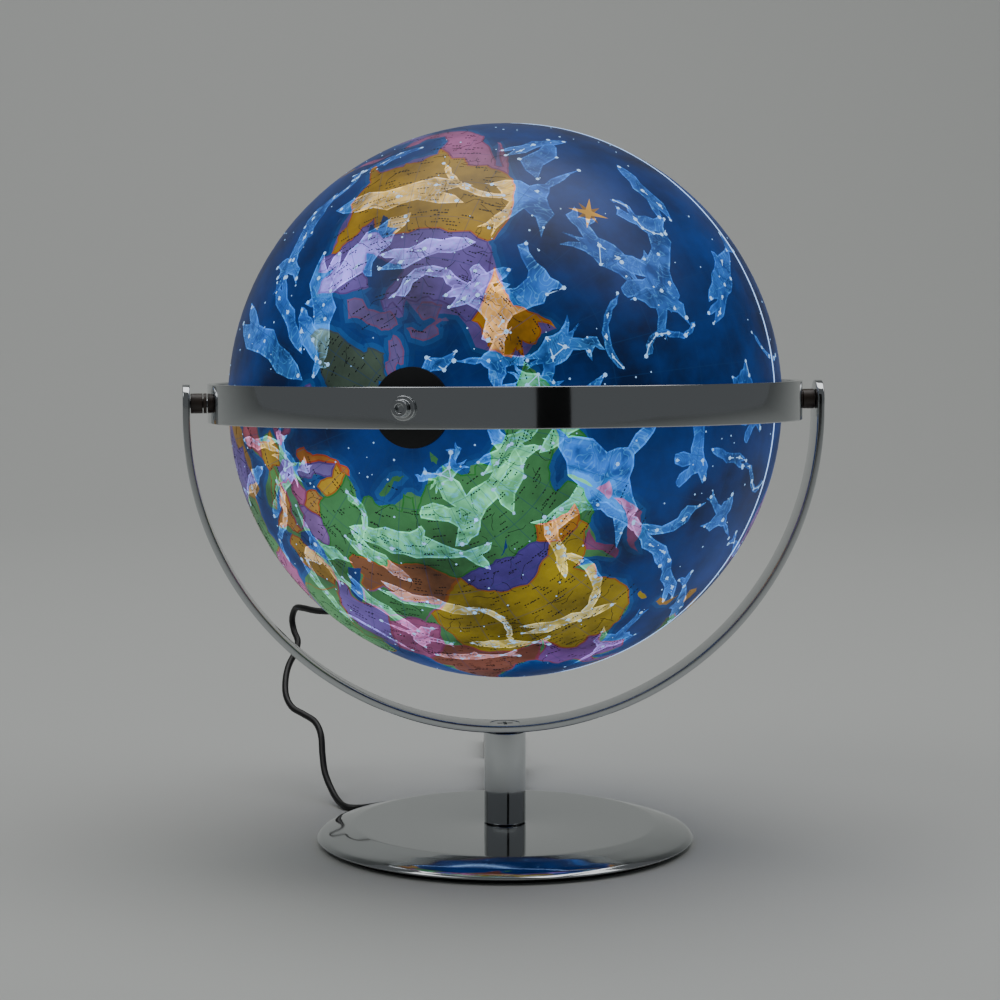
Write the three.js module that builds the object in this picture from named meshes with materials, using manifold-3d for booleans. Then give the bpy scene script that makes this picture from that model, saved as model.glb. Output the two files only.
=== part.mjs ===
// Illuminated desktop globe on a gimbal stand.
// A round base carries a post, and the post carries a half-round bow. A flat gimbal ring tilts
// between the bow's two ends, and the globe spins inside the ring on its own polar axis.
// Millimetres, +Z up, the origin under the middle of the base, the viewer on the -Y side.

import * as THREE from 'three';
import { mergeVertices } from 'three/addons/utils/BufferGeometryUtils.js';
import Module from 'manifold-3d';

const wasm = await Module();
wasm.setup();

// ---- Driving dimensions ----

const gap = 0.3; // between two pieces that touch
const shaftClearance = 0.3; // round a shank in a hole it turns or slides in

// Globe
const globeRadius = 125;
const globeWall = 2;
const poleHoleRadius = 8;
const filmThickness = 0.5;
const liningClearance = 0.9; // shell to film and seam flange, clear of the shell's flats
const seamWidth = 0.8; // the bright line between the two halves
const seamFlangeWidth = 10;
const seamFlangeThickness = 1.8;
const poleCapRadius = 17;
const poleCapThickness = 1.5;
const bushFlangeRadius = 11;
const bushFlangeThickness = 2;

// Gimbal ring
const axialTilt = 23.5; // degrees between the polar axis and the front-to-back line
const restTilt = -3.7; // degrees about +X, so the front of the ring is raised
const ringClearance = 6; // globe to ring
const ringThickness = 3;
const ringWidth = 17.5;

// Bow and pivots
const pivotSpace = 7.8; // ring to bow along the tilt axis
const bowThickness = 3.2;
const bowWidth = 17;
const bowDrop = 6; // the bow's centre lies this far below the tilt axis
const pivotScrewRadius = 2;
const pivotHeadRadius = 3.8;
const pivotHeadHeight = 1.8;
const pivotSpacerRadius = 4.5;
const pivotWasherThickness = 1.5;
const pivotNutAcross = 7;
const pivotNutHeight = 2.8;

// Post
const postRadius = 9.5;
const postWall = 1.8;
const postLength = 42.2;
const topPlugLength = 19;
const bottomPlugLength = 16;
const bowScrewRadius = 3;
const bowScrewHeadRadius = 6.5;
const bowScrewLength = 20;

// Base
const baseRadius = 86.5;
const baseTopRadius = 69;
const baseTopHeight = 9.2;
const baseWall = 2.3;
const baseEdgeHeight = 2.2; // the chromed edge ends here, above the table
const padRadius = 81;
const padThickness = 1.7;
const weightThickness = 4.6;
const boltRadius = 3;
const boltHeadRadius = 5.5;
const boltHeadHeight = 2.4;
const boltWasherRadius = 8;
const boltWasherThickness = 1.2;

// Pole fittings
const poleShankRadius = 2;
const poleFlangeRadius = 5.2;
const poleFlangeThickness = 1.6;
const poleKnobRadius = 3.6;
const poleKnobHeight = 4.6;
const poleSocketRadius = 1.7;
const poleSocketDepth = 3.6;
const poleNutAcross = 9;
const poleNutHeight = 2.6;
const studRadius = 4.5;
const studBore = 2.3;
const studOutside = 5; // how far the stud stands out of the ring
const studNutAcross = 13;
const studNutHeight = 2.8;

// Lamp
const lampStemRadius = 7;
const lampStemEnd = 38; // from the globe's centre
const lampHolderRadius = 16;
const lampHolderHeight = 24;
const ledBoardRadius = 13.5;
const ledBoardThickness = 1.6;
const ledCount = 8;
const diffuserWall = 1.5;
const diffuserHeight = 26;

// Cord
const cordDiameter = 3.2;
const reliefLength = 20;
const laneTurn = -5.5; // degrees, the stored cord lies in this line behind the base

// ---- Places that follow from the sizes ----

const ringInner = globeRadius + ringClearance;
const ringOuter = ringInner + ringThickness;
const bowInner = ringOuter + pivotSpace;
const bowOuter = bowInner + bowThickness;
const bowBottom = baseTopHeight + gap + postLength + gap;
const bowCentre = bowBottom + bowOuter;
const pivotHeight = bowCentre + bowDrop;
const postBottom = baseTopHeight + gap;
const postTop = postBottom + postLength;

const degrees = Math.PI / 180;
const xAxis = new THREE.Vector3(1, 0, 0);
const zAxis = new THREE.Vector3(0, 0, 1);
const north = new THREE.Vector3(-Math.sin(axialTilt * degrees), -Math.cos(axialTilt * degrees), 0);

// ---- Materials ----

function material(color, roughness, metalness) {
  return new THREE.MeshStandardMaterial({ color, roughness, metalness });
}

const chrome = material(0x9fa2a3, 0.08, 1);
const steel = material(0x8a8d90, 0.35, 1);
const castIron = material(0x3c3d3f, 0.7, 1);
const blackPlastic = material(0x141517, 0.45, 0);
const mapPlastic = material(0x1d62a8, 0.4, 0);
const clearPlastic = material(0xbfd8f5, 0.25, 0);
const filmPlastic = material(0x6fb4ff, 0.3, 0);
const brownNylon = material(0x5b4a3a, 0.5, 0);
const whitePlastic = material(0xe6e8e8, 0.4, 0);
const boardGreen = material(0x2f6b45, 0.5, 0);
const foam = material(0x1c1c1c, 0.9, 0);
const cordRubber = material(0x101112, 0.5, 0);
const contactMetal = material(0xb8bcc0, 0.3, 1);

// ---- Shape helpers ----

// A solid turned about Z. The profile is [radius, height] pairs, counter-clockwise seen with the
// radius to the right: up the outside and down the bore or the axis.
function turned(profile, segments) {
  const points = profile.map(([radius, height]) => new THREE.Vector2(radius, height));
  return new THREE.LatheGeometry(points, segments).rotateX(Math.PI / 2);
}

function rod(radius, low, high, segments = 20) {
  return turned([[0, low], [radius, low], [radius, high], [0, high]], segments);
}

function sleeve(bore, radius, low, high, segments = 24) {
  return turned([[bore, low], [radius, low], [radius, high], [bore, high], [bore, low]], segments);
}

function extruded(shape, low, high, curveSegments = 12) {
  const geometry = new THREE.ExtrudeGeometry(shape, {
    depth: high - low,
    bevelEnabled: false,
    curveSegments,
  });
  return geometry.translate(0, 0, low);
}

function hexNut(across, bore, low, high) {
  const corners = [];
  for (let i = 0; i < 6; i++) {
    const angle = i * 60 * degrees;
    const reach = across / Math.sqrt(3);
    corners.push(new THREE.Vector2(reach * Math.cos(angle), reach * Math.sin(angle)));
  }
  const shape = new THREE.Shape(corners);
  shape.holes.push(new THREE.Path().absarc(0, 0, bore, 0, 2 * Math.PI, true));
  return extruded(shape, low, high, 8);
}

function roundedBox(width, length, radius, low, high) {
  const x = width / 2;
  const y = length / 2;
  const shape = new THREE.Shape();
  shape.moveTo(x, radius - y);
  shape.lineTo(x, y - radius);
  shape.absarc(x - radius, y - radius, radius, 0, Math.PI / 2, false);
  shape.lineTo(radius - x, y);
  shape.absarc(radius - x, y - radius, radius, Math.PI / 2, Math.PI, false);
  shape.lineTo(-x, radius - y);
  shape.absarc(radius - x, radius - y, radius, Math.PI, 1.5 * Math.PI, false);
  shape.lineTo(x - radius, -y);
  shape.absarc(x - radius, radius - y, radius, 1.5 * Math.PI, 2 * Math.PI, false);
  return extruded(shape, low, high, 5);
}

// Points round the Z axis on a sphere, from one height to another, as [radius, height] pairs.
function sphereArc(radius, fromHeight, toHeight, steps) {
  const from = Math.asin(fromHeight / radius);
  const to = Math.asin(toHeight / radius);
  const points = [];
  for (let i = 0; i <= steps; i++) {
    const latitude = from + ((to - from) * i) / steps;
    points.push([radius * Math.cos(latitude), radius * Math.sin(latitude)]);
  }
  return points;
}

// Height on a sphere at a distance from its Z axis.
function heightAt(radius, distance) {
  return Math.sqrt(radius * radius - distance * distance);
}

function toSolid(geometry) {
  const bare = geometry.clone();
  bare.deleteAttribute('normal');
  bare.deleteAttribute('uv');
  const merged = mergeVertices(bare, 1e-4);
  const corners = merged.index.array;
  const triangles = [];
  for (let i = 0; i < corners.length; i += 3) {
    const [a, b, c] = [corners[i], corners[i + 1], corners[i + 2]];
    if (a !== b && b !== c && c !== a) {
      triangles.push(a, b, c);
    }
  }
  return new wasm.Manifold(new wasm.Mesh({
    numProp: 3,
    vertProperties: new Float32Array(merged.attributes.position.array),
    triVerts: new Uint32Array(triangles),
  }));
}

function toGeometry(solid) {
  const mesh = solid.getMesh();
  const geometry = new THREE.BufferGeometry();
  geometry.setAttribute('position', new THREE.BufferAttribute(mesh.vertProperties, 3));
  geometry.setIndex(new THREE.BufferAttribute(mesh.triVerts, 1));
  geometry.computeVertexNormals();
  return geometry;
}

function cut(geometry, ...tools) {
  let solid = toSolid(geometry);
  for (const tool of tools) {
    solid = solid.subtract(toSolid(tool));
  }
  return toGeometry(solid);
}

function add(group, name, geometry, surface) {
  const mesh = new THREE.Mesh(geometry, surface);
  mesh.name = name;
  group.add(mesh);
  return mesh;
}

// Turns a geometry made about +Z so that its axis lies along a direction.
function along(geometry, direction) {
  const turn = new THREE.Quaternion().setFromUnitVectors(zAxis, direction);
  return geometry.applyQuaternion(turn);
}

const model = new THREE.Group();

// ---- Base: chromed cover, steel weight, foam pad and the bolt that holds the post ----

const weightBottom = padThickness + gap;
const weightTop = weightBottom + weightThickness;
const coverUnder = baseTopHeight - baseWall;

function baseCover() {
  const rimInner = padRadius + 2 * gap;
  const roll = 1.4; // round of the outer edge
  const bevel = [
    [baseTopRadius, baseTopHeight],
    [baseTopRadius + 6, baseTopHeight - 1.3],
    [baseRadius - 5, baseTopHeight - 3.1],
    [baseRadius - 1.8, baseEdgeHeight + 2.7],
    [baseRadius, baseEdgeHeight + 1],
    [baseRadius - roll / 3, baseEdgeHeight + 0.3],
    [baseRadius - roll, baseEdgeHeight],
  ].reverse();
  const under = [
    [0, coverUnder],
    [baseTopRadius - 3, coverUnder],
    [rimInner - 2, baseEdgeHeight + 2],
    [rimInner, baseEdgeHeight + 0.6],
    [rimInner + 0.6, baseEdgeHeight],
  ];
  const cover = turned([...under, ...bevel, [0, baseTopHeight]], 48);
  return cut(cover, rod(boltRadius + shaftClearance, 0, baseTopHeight + 1));
}

function baseWeight() {
  const holeRadius = boltWasherRadius + 2 * gap;
  return turned([
    [holeRadius, weightBottom],
    [padRadius - 2, weightBottom],
    [padRadius - 2, weightBottom + 0.6],
    [baseTopRadius - 4, weightTop],
    [holeRadius, weightTop],
    [holeRadius, weightBottom],
  ], 48);
}

const washerTop = coverUnder - gap;
const washerBottom = washerTop - boltWasherThickness;
const boltHeadTop = washerBottom - gap;

function postBolt() {
  return turned([
    [0, boltHeadTop - boltHeadHeight + 0.4],
    [2, boltHeadTop - boltHeadHeight + 0.4],
    [2, boltHeadTop - boltHeadHeight],
    [boltHeadRadius, boltHeadTop - boltHeadHeight],
    [boltHeadRadius, boltHeadTop],
    [boltRadius, boltHeadTop],
    [boltRadius, postBottom + bottomPlugLength - 2],
    [0, postBottom + bottomPlugLength - 2],
  ], 20);
}

add(model, 'base_pad', rod(padRadius, 0, padThickness, 48), foam);
add(model, 'base_weight', baseWeight(), castIron);
add(model, 'base_cover', baseCover(), chrome);
add(model, 'post_bolt_washer',
  sleeve(boltRadius + shaftClearance, boltWasherRadius, washerBottom, washerTop, 24), steel);
add(model, 'post_bolt', postBolt(), steel);

// ---- Post: tube with a plug in each end ----

const plugRadius = postRadius - postWall - gap;
const topPlugBottom = postTop - topPlugLength;
add(model, 'post_tube', sleeve(postRadius - postWall, postRadius, postBottom, postTop, 40), chrome);
add(model, 'post_bottom_plug',
  sleeve(boltRadius + shaftClearance, plugRadius, postBottom, postBottom + bottomPlugLength, 24), steel);
add(model, 'post_top_plug',
  sleeve(bowScrewRadius + shaftClearance, plugRadius, topPlugBottom, postTop, 24), steel);

// ---- Bow: half-round strip with straight, rounded ends ----

function bowStrip() {
  const outline = new THREE.Shape();
  const endHeight = pivotHeight + bowWidth / 2;
  outline.moveTo(bowOuter, endHeight);
  outline.lineTo(bowInner, endHeight);
  outline.lineTo(bowInner, bowCentre);
  outline.absarc(0, bowCentre, bowInner, 0, -Math.PI, true);
  outline.lineTo(-bowInner, endHeight);
  outline.lineTo(-bowOuter, endHeight);
  outline.lineTo(-bowOuter, bowCentre);
  outline.absarc(0, bowCentre, bowOuter, -Math.PI, 0, false);
  const strip = extruded(outline, -bowWidth / 2, bowWidth / 2, 20).rotateX(Math.PI / 2);

  const side = new THREE.Shape(); // seen along X: a strip's width with a round top
  side.moveTo(-bowWidth / 2, 0);
  side.lineTo(bowWidth / 2, 0);
  side.lineTo(bowWidth / 2, pivotHeight);
  side.absarc(0, pivotHeight, bowWidth / 2, 0, Math.PI, false);
  const envelope = extruded(side, -bowOuter - 1, bowOuter + 1, 12);
  envelope.applyMatrix4(new THREE.Matrix4().makeBasis(new THREE.Vector3(0, 1, 0), zAxis, xAxis));

  const pivotHole = along(rod(pivotScrewRadius + shaftClearance, -bowOuter - 1, bowOuter + 1), xAxis);
  pivotHole.translate(0, 0, pivotHeight);
  const screwHole = rod(bowScrewRadius + shaftClearance, bowBottom - 1, bowBottom + bowThickness + 1);
  let solid = toSolid(strip).intersect(toSolid(envelope));
  for (const tool of [pivotHole, screwHole, bowCountersink(), ...[1, -1].map(pivotCountersink)]) {
    solid = solid.subtract(toSolid(tool));
  }
  return toGeometry(solid);
}

// The bow screw's head lies this far under the bow's inner face.
const bowScrewTop = bowBottom + bowThickness - 0.1;

function bowCountersink() {
  const wide = bowScrewHeadRadius + gap;
  return turned([
    [0, bowScrewTop - bowThickness],
    [bowScrewRadius + shaftClearance, bowScrewTop - bowThickness],
    [wide, bowScrewTop],
    [wide, bowScrewTop + 2],
    [0, bowScrewTop + 2],
  ], 32);
}

function pivotCountersink(sideSign) {
  const tool = turned([
    [0, bowOuter - pivotHeadHeight - gap],
    [pivotScrewRadius + shaftClearance, bowOuter - pivotHeadHeight - gap],
    [pivotHeadRadius + gap, bowOuter],
    [pivotHeadRadius + gap, bowOuter + 2],
    [0, bowOuter + 2],
  ], 24);
  return along(tool, new THREE.Vector3(sideSign, 0, 0)).translate(0, 0, pivotHeight);
}

function bowScrew() {
  const coneDepth = bowThickness - gap;
  const slotWidth = 1.6;
  const slotDepth = 1.2;
  const screw = turned([
    [0, bowScrewTop - bowScrewLength],
    [bowScrewRadius, bowScrewTop - bowScrewLength],
    [bowScrewRadius, bowScrewTop - coneDepth],
    [bowScrewHeadRadius, bowScrewTop],
    [0, bowScrewTop],
  ], 32);
  const across = new THREE.BoxGeometry(slotWidth, 7, 2 * slotDepth).translate(0, 0, bowScrewTop);
  const endways = new THREE.BoxGeometry(7, slotWidth, 2 * slotDepth).translate(0, 0, bowScrewTop);
  return cut(screw, across, endways);
}

add(model, 'support_bow', bowStrip(), chrome);
add(model, 'bow_screw', bowScrew(), chrome);

// ---- Pivots: on each side a shoulder screw, a spacer, a friction washer and a lock nut ----

function pivotScrew() {
  const end = ringInner - gap - pivotNutHeight - 0.4;
  return turned([
    [0, end],
    [pivotScrewRadius, end],
    [pivotScrewRadius, bowOuter - pivotHeadHeight],
    [pivotHeadRadius, bowOuter - 0.2],
    [pivotHeadRadius, bowOuter - 0.05],
    [0, bowOuter - 0.05],
  ], 24);
}

for (const [side, sideSign] of [['left', -1], ['right', 1]]) {
  const direction = new THREE.Vector3(sideSign, 0, 0);
  const bore = pivotScrewRadius + shaftClearance;
  const washerEnd = ringOuter + gap + pivotWasherThickness;
  const nutEnd = ringInner - gap;
  const pieces = {
    pivot_screw: [pivotScrew(), chrome],
    pivot_spacer: [sleeve(bore, pivotSpacerRadius, washerEnd + gap, bowInner - gap, 20), brownNylon],
    pivot_washer: [sleeve(bore, pivotSpacerRadius, ringOuter + gap, washerEnd, 20), brownNylon],
    pivot_nut: [hexNut(pivotNutAcross, bore, nutEnd - pivotNutHeight, nutEnd), steel],
  };
  for (const [name, [geometry, surface]] of Object.entries(pieces)) {
    const mesh = add(model, `${side}_${name}`, along(geometry, direction), surface);
    mesh.position.z = pivotHeight;
  }
}

// ---- Gimbal ring, in its own group so that it rests at its own tilt ----

const tilting = new THREE.Group();
tilting.position.z = pivotHeight;
tilting.rotation.x = restTilt * degrees;
model.add(tilting);

function gimbalRing() {
  const band = sleeve(ringInner, ringOuter, -ringWidth / 2, ringWidth / 2, 72);
  const pivotHole = along(rod(pivotScrewRadius + shaftClearance, -ringOuter - 1, ringOuter + 1), xAxis);
  const northHole = along(rod(poleShankRadius + shaftClearance, 0, ringOuter + 2), north);
  const southHole = along(rod(studRadius + shaftClearance, -ringOuter - 2, 0), north);
  return cut(band, pivotHole, northHole, southHole);
}

add(tilting, 'gimbal_ring', gimbalRing(), chrome);

// ---- Polar group: local +Z is the north pole ----

const polar = new THREE.Group();
polar.quaternion.setFromUnitVectors(zAxis, north);
tilting.add(polar);

// ---- Globe: two printed halves, a clear seam ring, star films, pole caps and bushes ----

function halfShell(radius, wall, seamHalf, holeRadius, steps, segments) {
  const inner = radius - wall;
  const outside = sphereArc(radius, seamHalf, heightAt(radius, holeRadius), steps);
  const inside = sphereArc(inner, seamHalf, heightAt(inner, holeRadius), steps).reverse();
  return turned([inside[inside.length - 1], ...outside, ...inside], segments);
}

const shellSeamHalf = seamWidth / 2 + gap;
const flangeOuter = globeRadius - globeWall - liningClearance;
const filmRadius = flangeOuter;
const filmSeamHalf = seamFlangeWidth / 2 + gap;
const filmHoleRadius = bushFlangeRadius + 2 * gap;

add(polar, 'north_hemisphere', halfShell(globeRadius, globeWall, shellSeamHalf, poleHoleRadius, 9, 40),
  mapPlastic);
add(polar, 'south_hemisphere', halfShell(globeRadius, globeWall, shellSeamHalf, poleHoleRadius, 9, 40)
  .rotateX(Math.PI), mapPlastic);
add(polar, 'north_star_film', halfShell(filmRadius, filmThickness, filmSeamHalf, filmHoleRadius, 5, 24),
  filmPlastic);
add(polar, 'south_star_film', halfShell(filmRadius, filmThickness, filmSeamHalf, filmHoleRadius, 5, 24)
  .rotateX(Math.PI), filmPlastic);

function equatorBand() {
  const inner = flangeOuter - seamFlangeThickness;
  return turned([
    [inner, -seamFlangeWidth / 2],
    [flangeOuter, -seamFlangeWidth / 2],
    [flangeOuter, -seamWidth / 2],
    [globeRadius + 0.1, -seamWidth / 2],
    [globeRadius + 0.1, seamWidth / 2],
    [flangeOuter, seamWidth / 2],
    [flangeOuter, seamFlangeWidth / 2],
    [inner, seamFlangeWidth / 2],
    [inner, -seamFlangeWidth / 2],
  ], 40);
}

add(polar, 'equator_band', equatorBand(), clearPlastic);

// A pole's cap lies on the globe, and its bush goes through cap and shell with a flange inside.
const capUnder = globeRadius + gap;
const capTop = capUnder + poleCapThickness;
const bushRadius = poleHoleRadius - gap;
const bushTop = heightAt(capTop, bushRadius) + 0.3;
const bushFlangeTop = heightAt(globeRadius - globeWall, bushFlangeRadius) - gap;

function poleCap() {
  const steps = 3;
  const rim = heightAt(capUnder, poleCapRadius);
  const hole = bushRadius + gap;
  const under = sphereArc(capUnder, rim, heightAt(capUnder, hole), steps).reverse();
  const top = sphereArc(capTop, heightAt(capTop, poleCapRadius), heightAt(capTop, hole), steps);
  return turned([...under, ...top, under[0]], 32);
}

function poleBush(bore) {
  return turned([
    [bore, bushFlangeTop - bushFlangeThickness],
    [bushFlangeRadius, bushFlangeTop - bushFlangeThickness],
    [bushFlangeRadius, bushFlangeTop],
    [bushRadius, bushFlangeTop],
    [bushRadius, bushTop],
    [bore, bushTop],
    [bore, bushFlangeTop - bushFlangeThickness],
  ], 24);
}

add(polar, 'north_pole_cap', poleCap(), blackPlastic);
add(polar, 'north_bush', poleBush(poleShankRadius + shaftClearance), blackPlastic);
add(polar, 'south_pole_cap', poleCap().rotateX(Math.PI), blackPlastic);
add(polar, 'south_bush', poleBush(studRadius + shaftClearance).rotateX(Math.PI), blackPlastic);

// ---- Pole fittings: a hollow-headed screw in front, a hollow stud for the lamp behind ----

// The ring is curved, so a flat fitting of this radius keeps this distance from the ring's axis.
const ringFaceAt = (radius, reach) => Math.sqrt(radius * radius - reach * reach);

function northPoleScrew() {
  const flangeUnder = ringOuter + gap;
  const flangeTop = flangeUnder + poleFlangeThickness;
  const knobTop = flangeTop + poleKnobHeight;
  return turned([
    [0, bushFlangeTop - bushFlangeThickness - 1],
    [poleShankRadius, bushFlangeTop - bushFlangeThickness - 1],
    [poleShankRadius, flangeUnder],
    [poleFlangeRadius, flangeUnder],
    [poleFlangeRadius, flangeTop - 0.4],
    [poleFlangeRadius - 0.4, flangeTop],
    [poleKnobRadius, flangeTop],
    [poleKnobRadius, knobTop - 0.6],
    [poleKnobRadius - 0.6, knobTop],
    [poleSocketRadius, knobTop],
    [poleSocketRadius, knobTop - poleSocketDepth],
    [0, knobTop - poleSocketDepth],
  ], 24);
}

const nutFace = ringFaceAt(ringInner, poleNutAcross / 2) - gap;
add(polar, 'north_pole_screw', northPoleScrew(), chrome);
add(polar, 'north_pole_nut',
  hexNut(poleNutAcross, poleShankRadius + shaftClearance, nutFace - poleNutHeight, nutFace), steel);

const studEnd = ringOuter + studOutside;
const stemTop = bushFlangeTop - bushFlangeThickness - gap;
const studInside = stemTop - 8;
const studNutFace = ringFaceAt(ringInner, studNutAcross / Math.sqrt(3)) - gap;
const studBoreInNut = studRadius + shaftClearance;

const southSide = new THREE.Group(); // local +Z points out of the south pole
southSide.rotation.x = Math.PI;
polar.add(southSide);

add(southSide, 'south_hollow_stud', sleeve(studBore, studRadius, studInside, studEnd, 28), steel);
add(southSide, 'south_inner_nut',
  hexNut(studNutAcross, studBoreInNut, studNutFace - studNutHeight, studNutFace), steel);
add(southSide, 'south_outer_nut',
  hexNut(studNutAcross, studBoreInNut, ringOuter + gap, ringOuter + gap + studNutHeight), chrome);

function strainRelief() {
  const start = studEnd + gap;
  const end = start + reliefLength;
  const bore = cordDiameter / 2 + gap;
  const profile = [[bore, start], [studRadius, start]];
  const ribs = 3;
  for (let i = 0; i < ribs; i++) {
    const low = start + 3 + ((reliefLength - 4) * i) / ribs;
    const radius = studRadius - 0.5 - ((studRadius - bore - 1.4) * i) / ribs;
    profile.push([radius, low], [radius, low + 2.4], [radius - 0.5, low + 2.8], [radius - 0.5, low + 3.6]);
  }
  profile.push([bore + 0.8, end], [bore, end], [bore, start]);
  return turned(profile, 12);
}

add(southSide, 'cord_strain_relief', strainRelief(), cordRubber);

// ---- Lamp on a stem from the south pole to the globe's centre ----

const holderLow = lampStemEnd - lampHolderHeight; // distances grow towards the south pole
const boardTop = holderLow - gap;
const leadRadius = cordDiameter / 2;

function lampStem() {
  const socketEnd = studInside - gap;
  return turned([
    [leadRadius + 0.8, lampStemEnd + gap],
    [lampStemRadius, lampStemEnd + gap],
    [lampStemRadius, stemTop],
    [studRadius + shaftClearance, stemTop],
    [studRadius + shaftClearance, socketEnd],
    [leadRadius + 0.8, socketEnd],
    [leadRadius + 0.8, lampStemEnd + gap],
  ], 28);
}

function lampHolder() {
  const bore = leadRadius + 0.8;
  return turned([
    [bore, holderLow],
    [lampHolderRadius, holderLow],
    [lampHolderRadius, holderLow + lampHolderHeight * 0.6],
    [lampStemRadius + 1, lampStemEnd],
    [bore, lampStemEnd],
    [bore, holderLow],
  ], 24);
}

function ledBoard() {
  let solid = toSolid(rod(ledBoardRadius, boardTop - ledBoardThickness, boardTop, 32));
  for (let i = 0; i < ledCount; i++) {
    const angle = (i * 2 * Math.PI) / ledCount;
    const chip = new THREE.BoxGeometry(3, 3, 1.6);
    chip.rotateZ(angle);
    chip.translate(9 * Math.cos(angle), 9 * Math.sin(angle), boardTop - ledBoardThickness - 0.4);
    solid = solid.add(toSolid(chip));
  }
  return toGeometry(solid);
}

function ledDiffuser() {
  const rim = holderLow - gap;
  const top = rim - diffuserHeight;
  const outer = lampHolderRadius;
  const inner = outer - diffuserWall;
  return turned([
    [0, top],
    [outer * 0.5, top + 2.2],
    [outer * 0.85, top + 7.5],
    [outer, top + 14],
    [outer, rim],
    [inner, rim],
    [inner, top + 14],
    [inner * 0.84, top + 8.6],
    [inner * 0.49, top + 3.7],
    [0, top + diffuserWall],
  ], 24);
}

add(southSide, 'lamp_stem', lampStem(), whitePlastic);
add(southSide, 'lamp_holder', lampHolder(), whitePlastic);
add(southSide, 'led_board', ledBoard(), boardGreen);
add(southSide, 'led_diffuser', ledDiffuser(), clearPlastic);
add(southSide, 'lamp_lead', rod(leadRadius, boardTop + gap, studEnd, 10), cordRubber);
add(southSide, 'cord_in_relief', rod(leadRadius, studEnd + gap, studEnd + gap + reliefLength, 10), cordRubber);

// ---- Cord: free stretch, tied hank, inline rocker switch and plug ----

function cordTube(points, steps) {
  const route = new THREE.CatmullRomCurve3(points.map((p) => new THREE.Vector3(...p)), false, 'centripetal');
  const section = new THREE.Shape();
  section.absarc(0, 0, cordDiameter / 2, 0, 2 * Math.PI, false);
  return new THREE.ExtrudeGeometry(section, { extrudePath: route, steps, curveSegments: 4 });
}

// The hanging stretch is measured from the strain relief's end, so that it follows the globe, the
// ring and the post. The rest lies along the base's back edge.
model.updateMatrixWorld(true);
const reliefEnd = southSide.localToWorld(new THREE.Vector3(0, 0, studEnd + gap + reliefLength));
const hangingWay = [
  [0.18, 0.37, -0.07], [3.38, 7.82, -0.47], [5.88, 15.22, -2.97], [6.08, 20.62, -8.97],
  [1.68, 22.82, -18.37], [-7.52, 22.62, -31.07], [-21.52, 20.22, -46.57],
  [-38.52, 16.72, -62.07], [-57.52, 13.72, -76.07], [-77.52, 12.22, -88.07],
  [-97.52, 11.22, -99.57], [-116.52, 6.72, -105.27], [-129.52, 4.72, -108.27],
  [-137.52, 6.22, -109.17], [-144.52, 10.72, -109.37], [-150.32, 17.72, -109.07],
  [-153.92, 25.22, -110.17], [-155.72, 29.22, -115.97], [-154.92, 27.22, -121.97],
  [-153.12, 21.82, -126.77], [-154.92, 15.22, -131.77], [-158.12, 7.62, -136.37],
  [-160.02, -0.18, -142.17], [-160.12, -8.58, -148.77],
];
const lyingWay = [
  [-93.8, 129.6, 40], [-88.4, 124.6, 37.4], [-82.8, 119.2, 34.4], [-80.2, 112, 29.2],
  [-79.8, 104.4, 21], [-78.9, 97, 13.4], [-76, 88.4, 6.6], [-73, 79.4, 2.8],
  [-69.6, 71.8, 1.7], [-63.8, 69, 1.7], [-57.6, 71.4, 1.7], [-48.6, 77.2, 1.7],
  [-36.6, 83, 1.7], [-22.5, 87.6, 1.7], [-10.5, 90.4, 1.7], [-2.6, 93.4, 1.7],
  [0.9, 99, 1.7],
];
const freeRoute = hangingWay.map(([x, y, z]) => [x + reliefEnd.x, y + reliefEnd.y, z + reliefEnd.z])
  .concat(lyingWay);
add(model, 'cord_free', cordTube(freeRoute, 76), cordRubber);

const lane = new THREE.Group(); // local +Y runs away from the base, behind the post
lane.rotation.z = laneTurn * degrees;
model.add(lane);

const hankStart = 96;
const hankLength = 76;
const hankEndWidth = 20.4;
const hankWaist = 14;
const hankBottom = 1.1;
const hankHeight = 9.6;
const tieWidth = 9;
const tieThickness = 0.8;

function hankOutline() {
  const endRadius = hankEndWidth / 2;
  const nearCentre = hankStart + endRadius;
  const farCentre = hankStart + hankLength - endRadius;
  const middle = (nearCentre + farCentre) / 2;
  const waist = hankWaist / 2;
  const straight = tieWidth / 2 + 1.5;
  const shape = new THREE.Shape();
  shape.moveTo(endRadius, nearCentre);
  shape.bezierCurveTo(endRadius, nearCentre + 8, waist, middle - straight - 8, waist, middle - straight);
  shape.lineTo(waist, middle + straight);
  shape.bezierCurveTo(waist, middle + straight + 8, endRadius, farCentre - 8, endRadius, farCentre);
  shape.absarc(0, farCentre, endRadius, 0, Math.PI, false);
  shape.bezierCurveTo(-endRadius, farCentre - 8, -waist, middle + straight + 8, -waist, middle + straight);
  shape.lineTo(-waist, middle - straight);
  shape.bezierCurveTo(-waist, middle - straight - 8, -endRadius, nearCentre + 8, -endRadius, nearCentre);
  shape.absarc(0, nearCentre, endRadius, Math.PI, 2 * Math.PI, false);
  return shape;
}

function hankTie() {
  const x = hankWaist / 2 + gap;
  const low = hankBottom - gap;
  const high = hankBottom + hankHeight + gap;
  const t = tieThickness;
  const shape = new THREE.Shape([
    new THREE.Vector2(-x - t, low - t), new THREE.Vector2(x + t, low - t),
    new THREE.Vector2(x + t, high + t), new THREE.Vector2(-x - t, high + t),
  ]);
  shape.holes.push(new THREE.Path([
    new THREE.Vector2(-x, low), new THREE.Vector2(-x, high),
    new THREE.Vector2(x, high), new THREE.Vector2(x, low),
  ]));
  const band = extruded(shape, -tieWidth / 2, tieWidth / 2).rotateX(Math.PI / 2);
  return band.translate(0, hankStart + hankLength / 2, 0);
}

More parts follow.
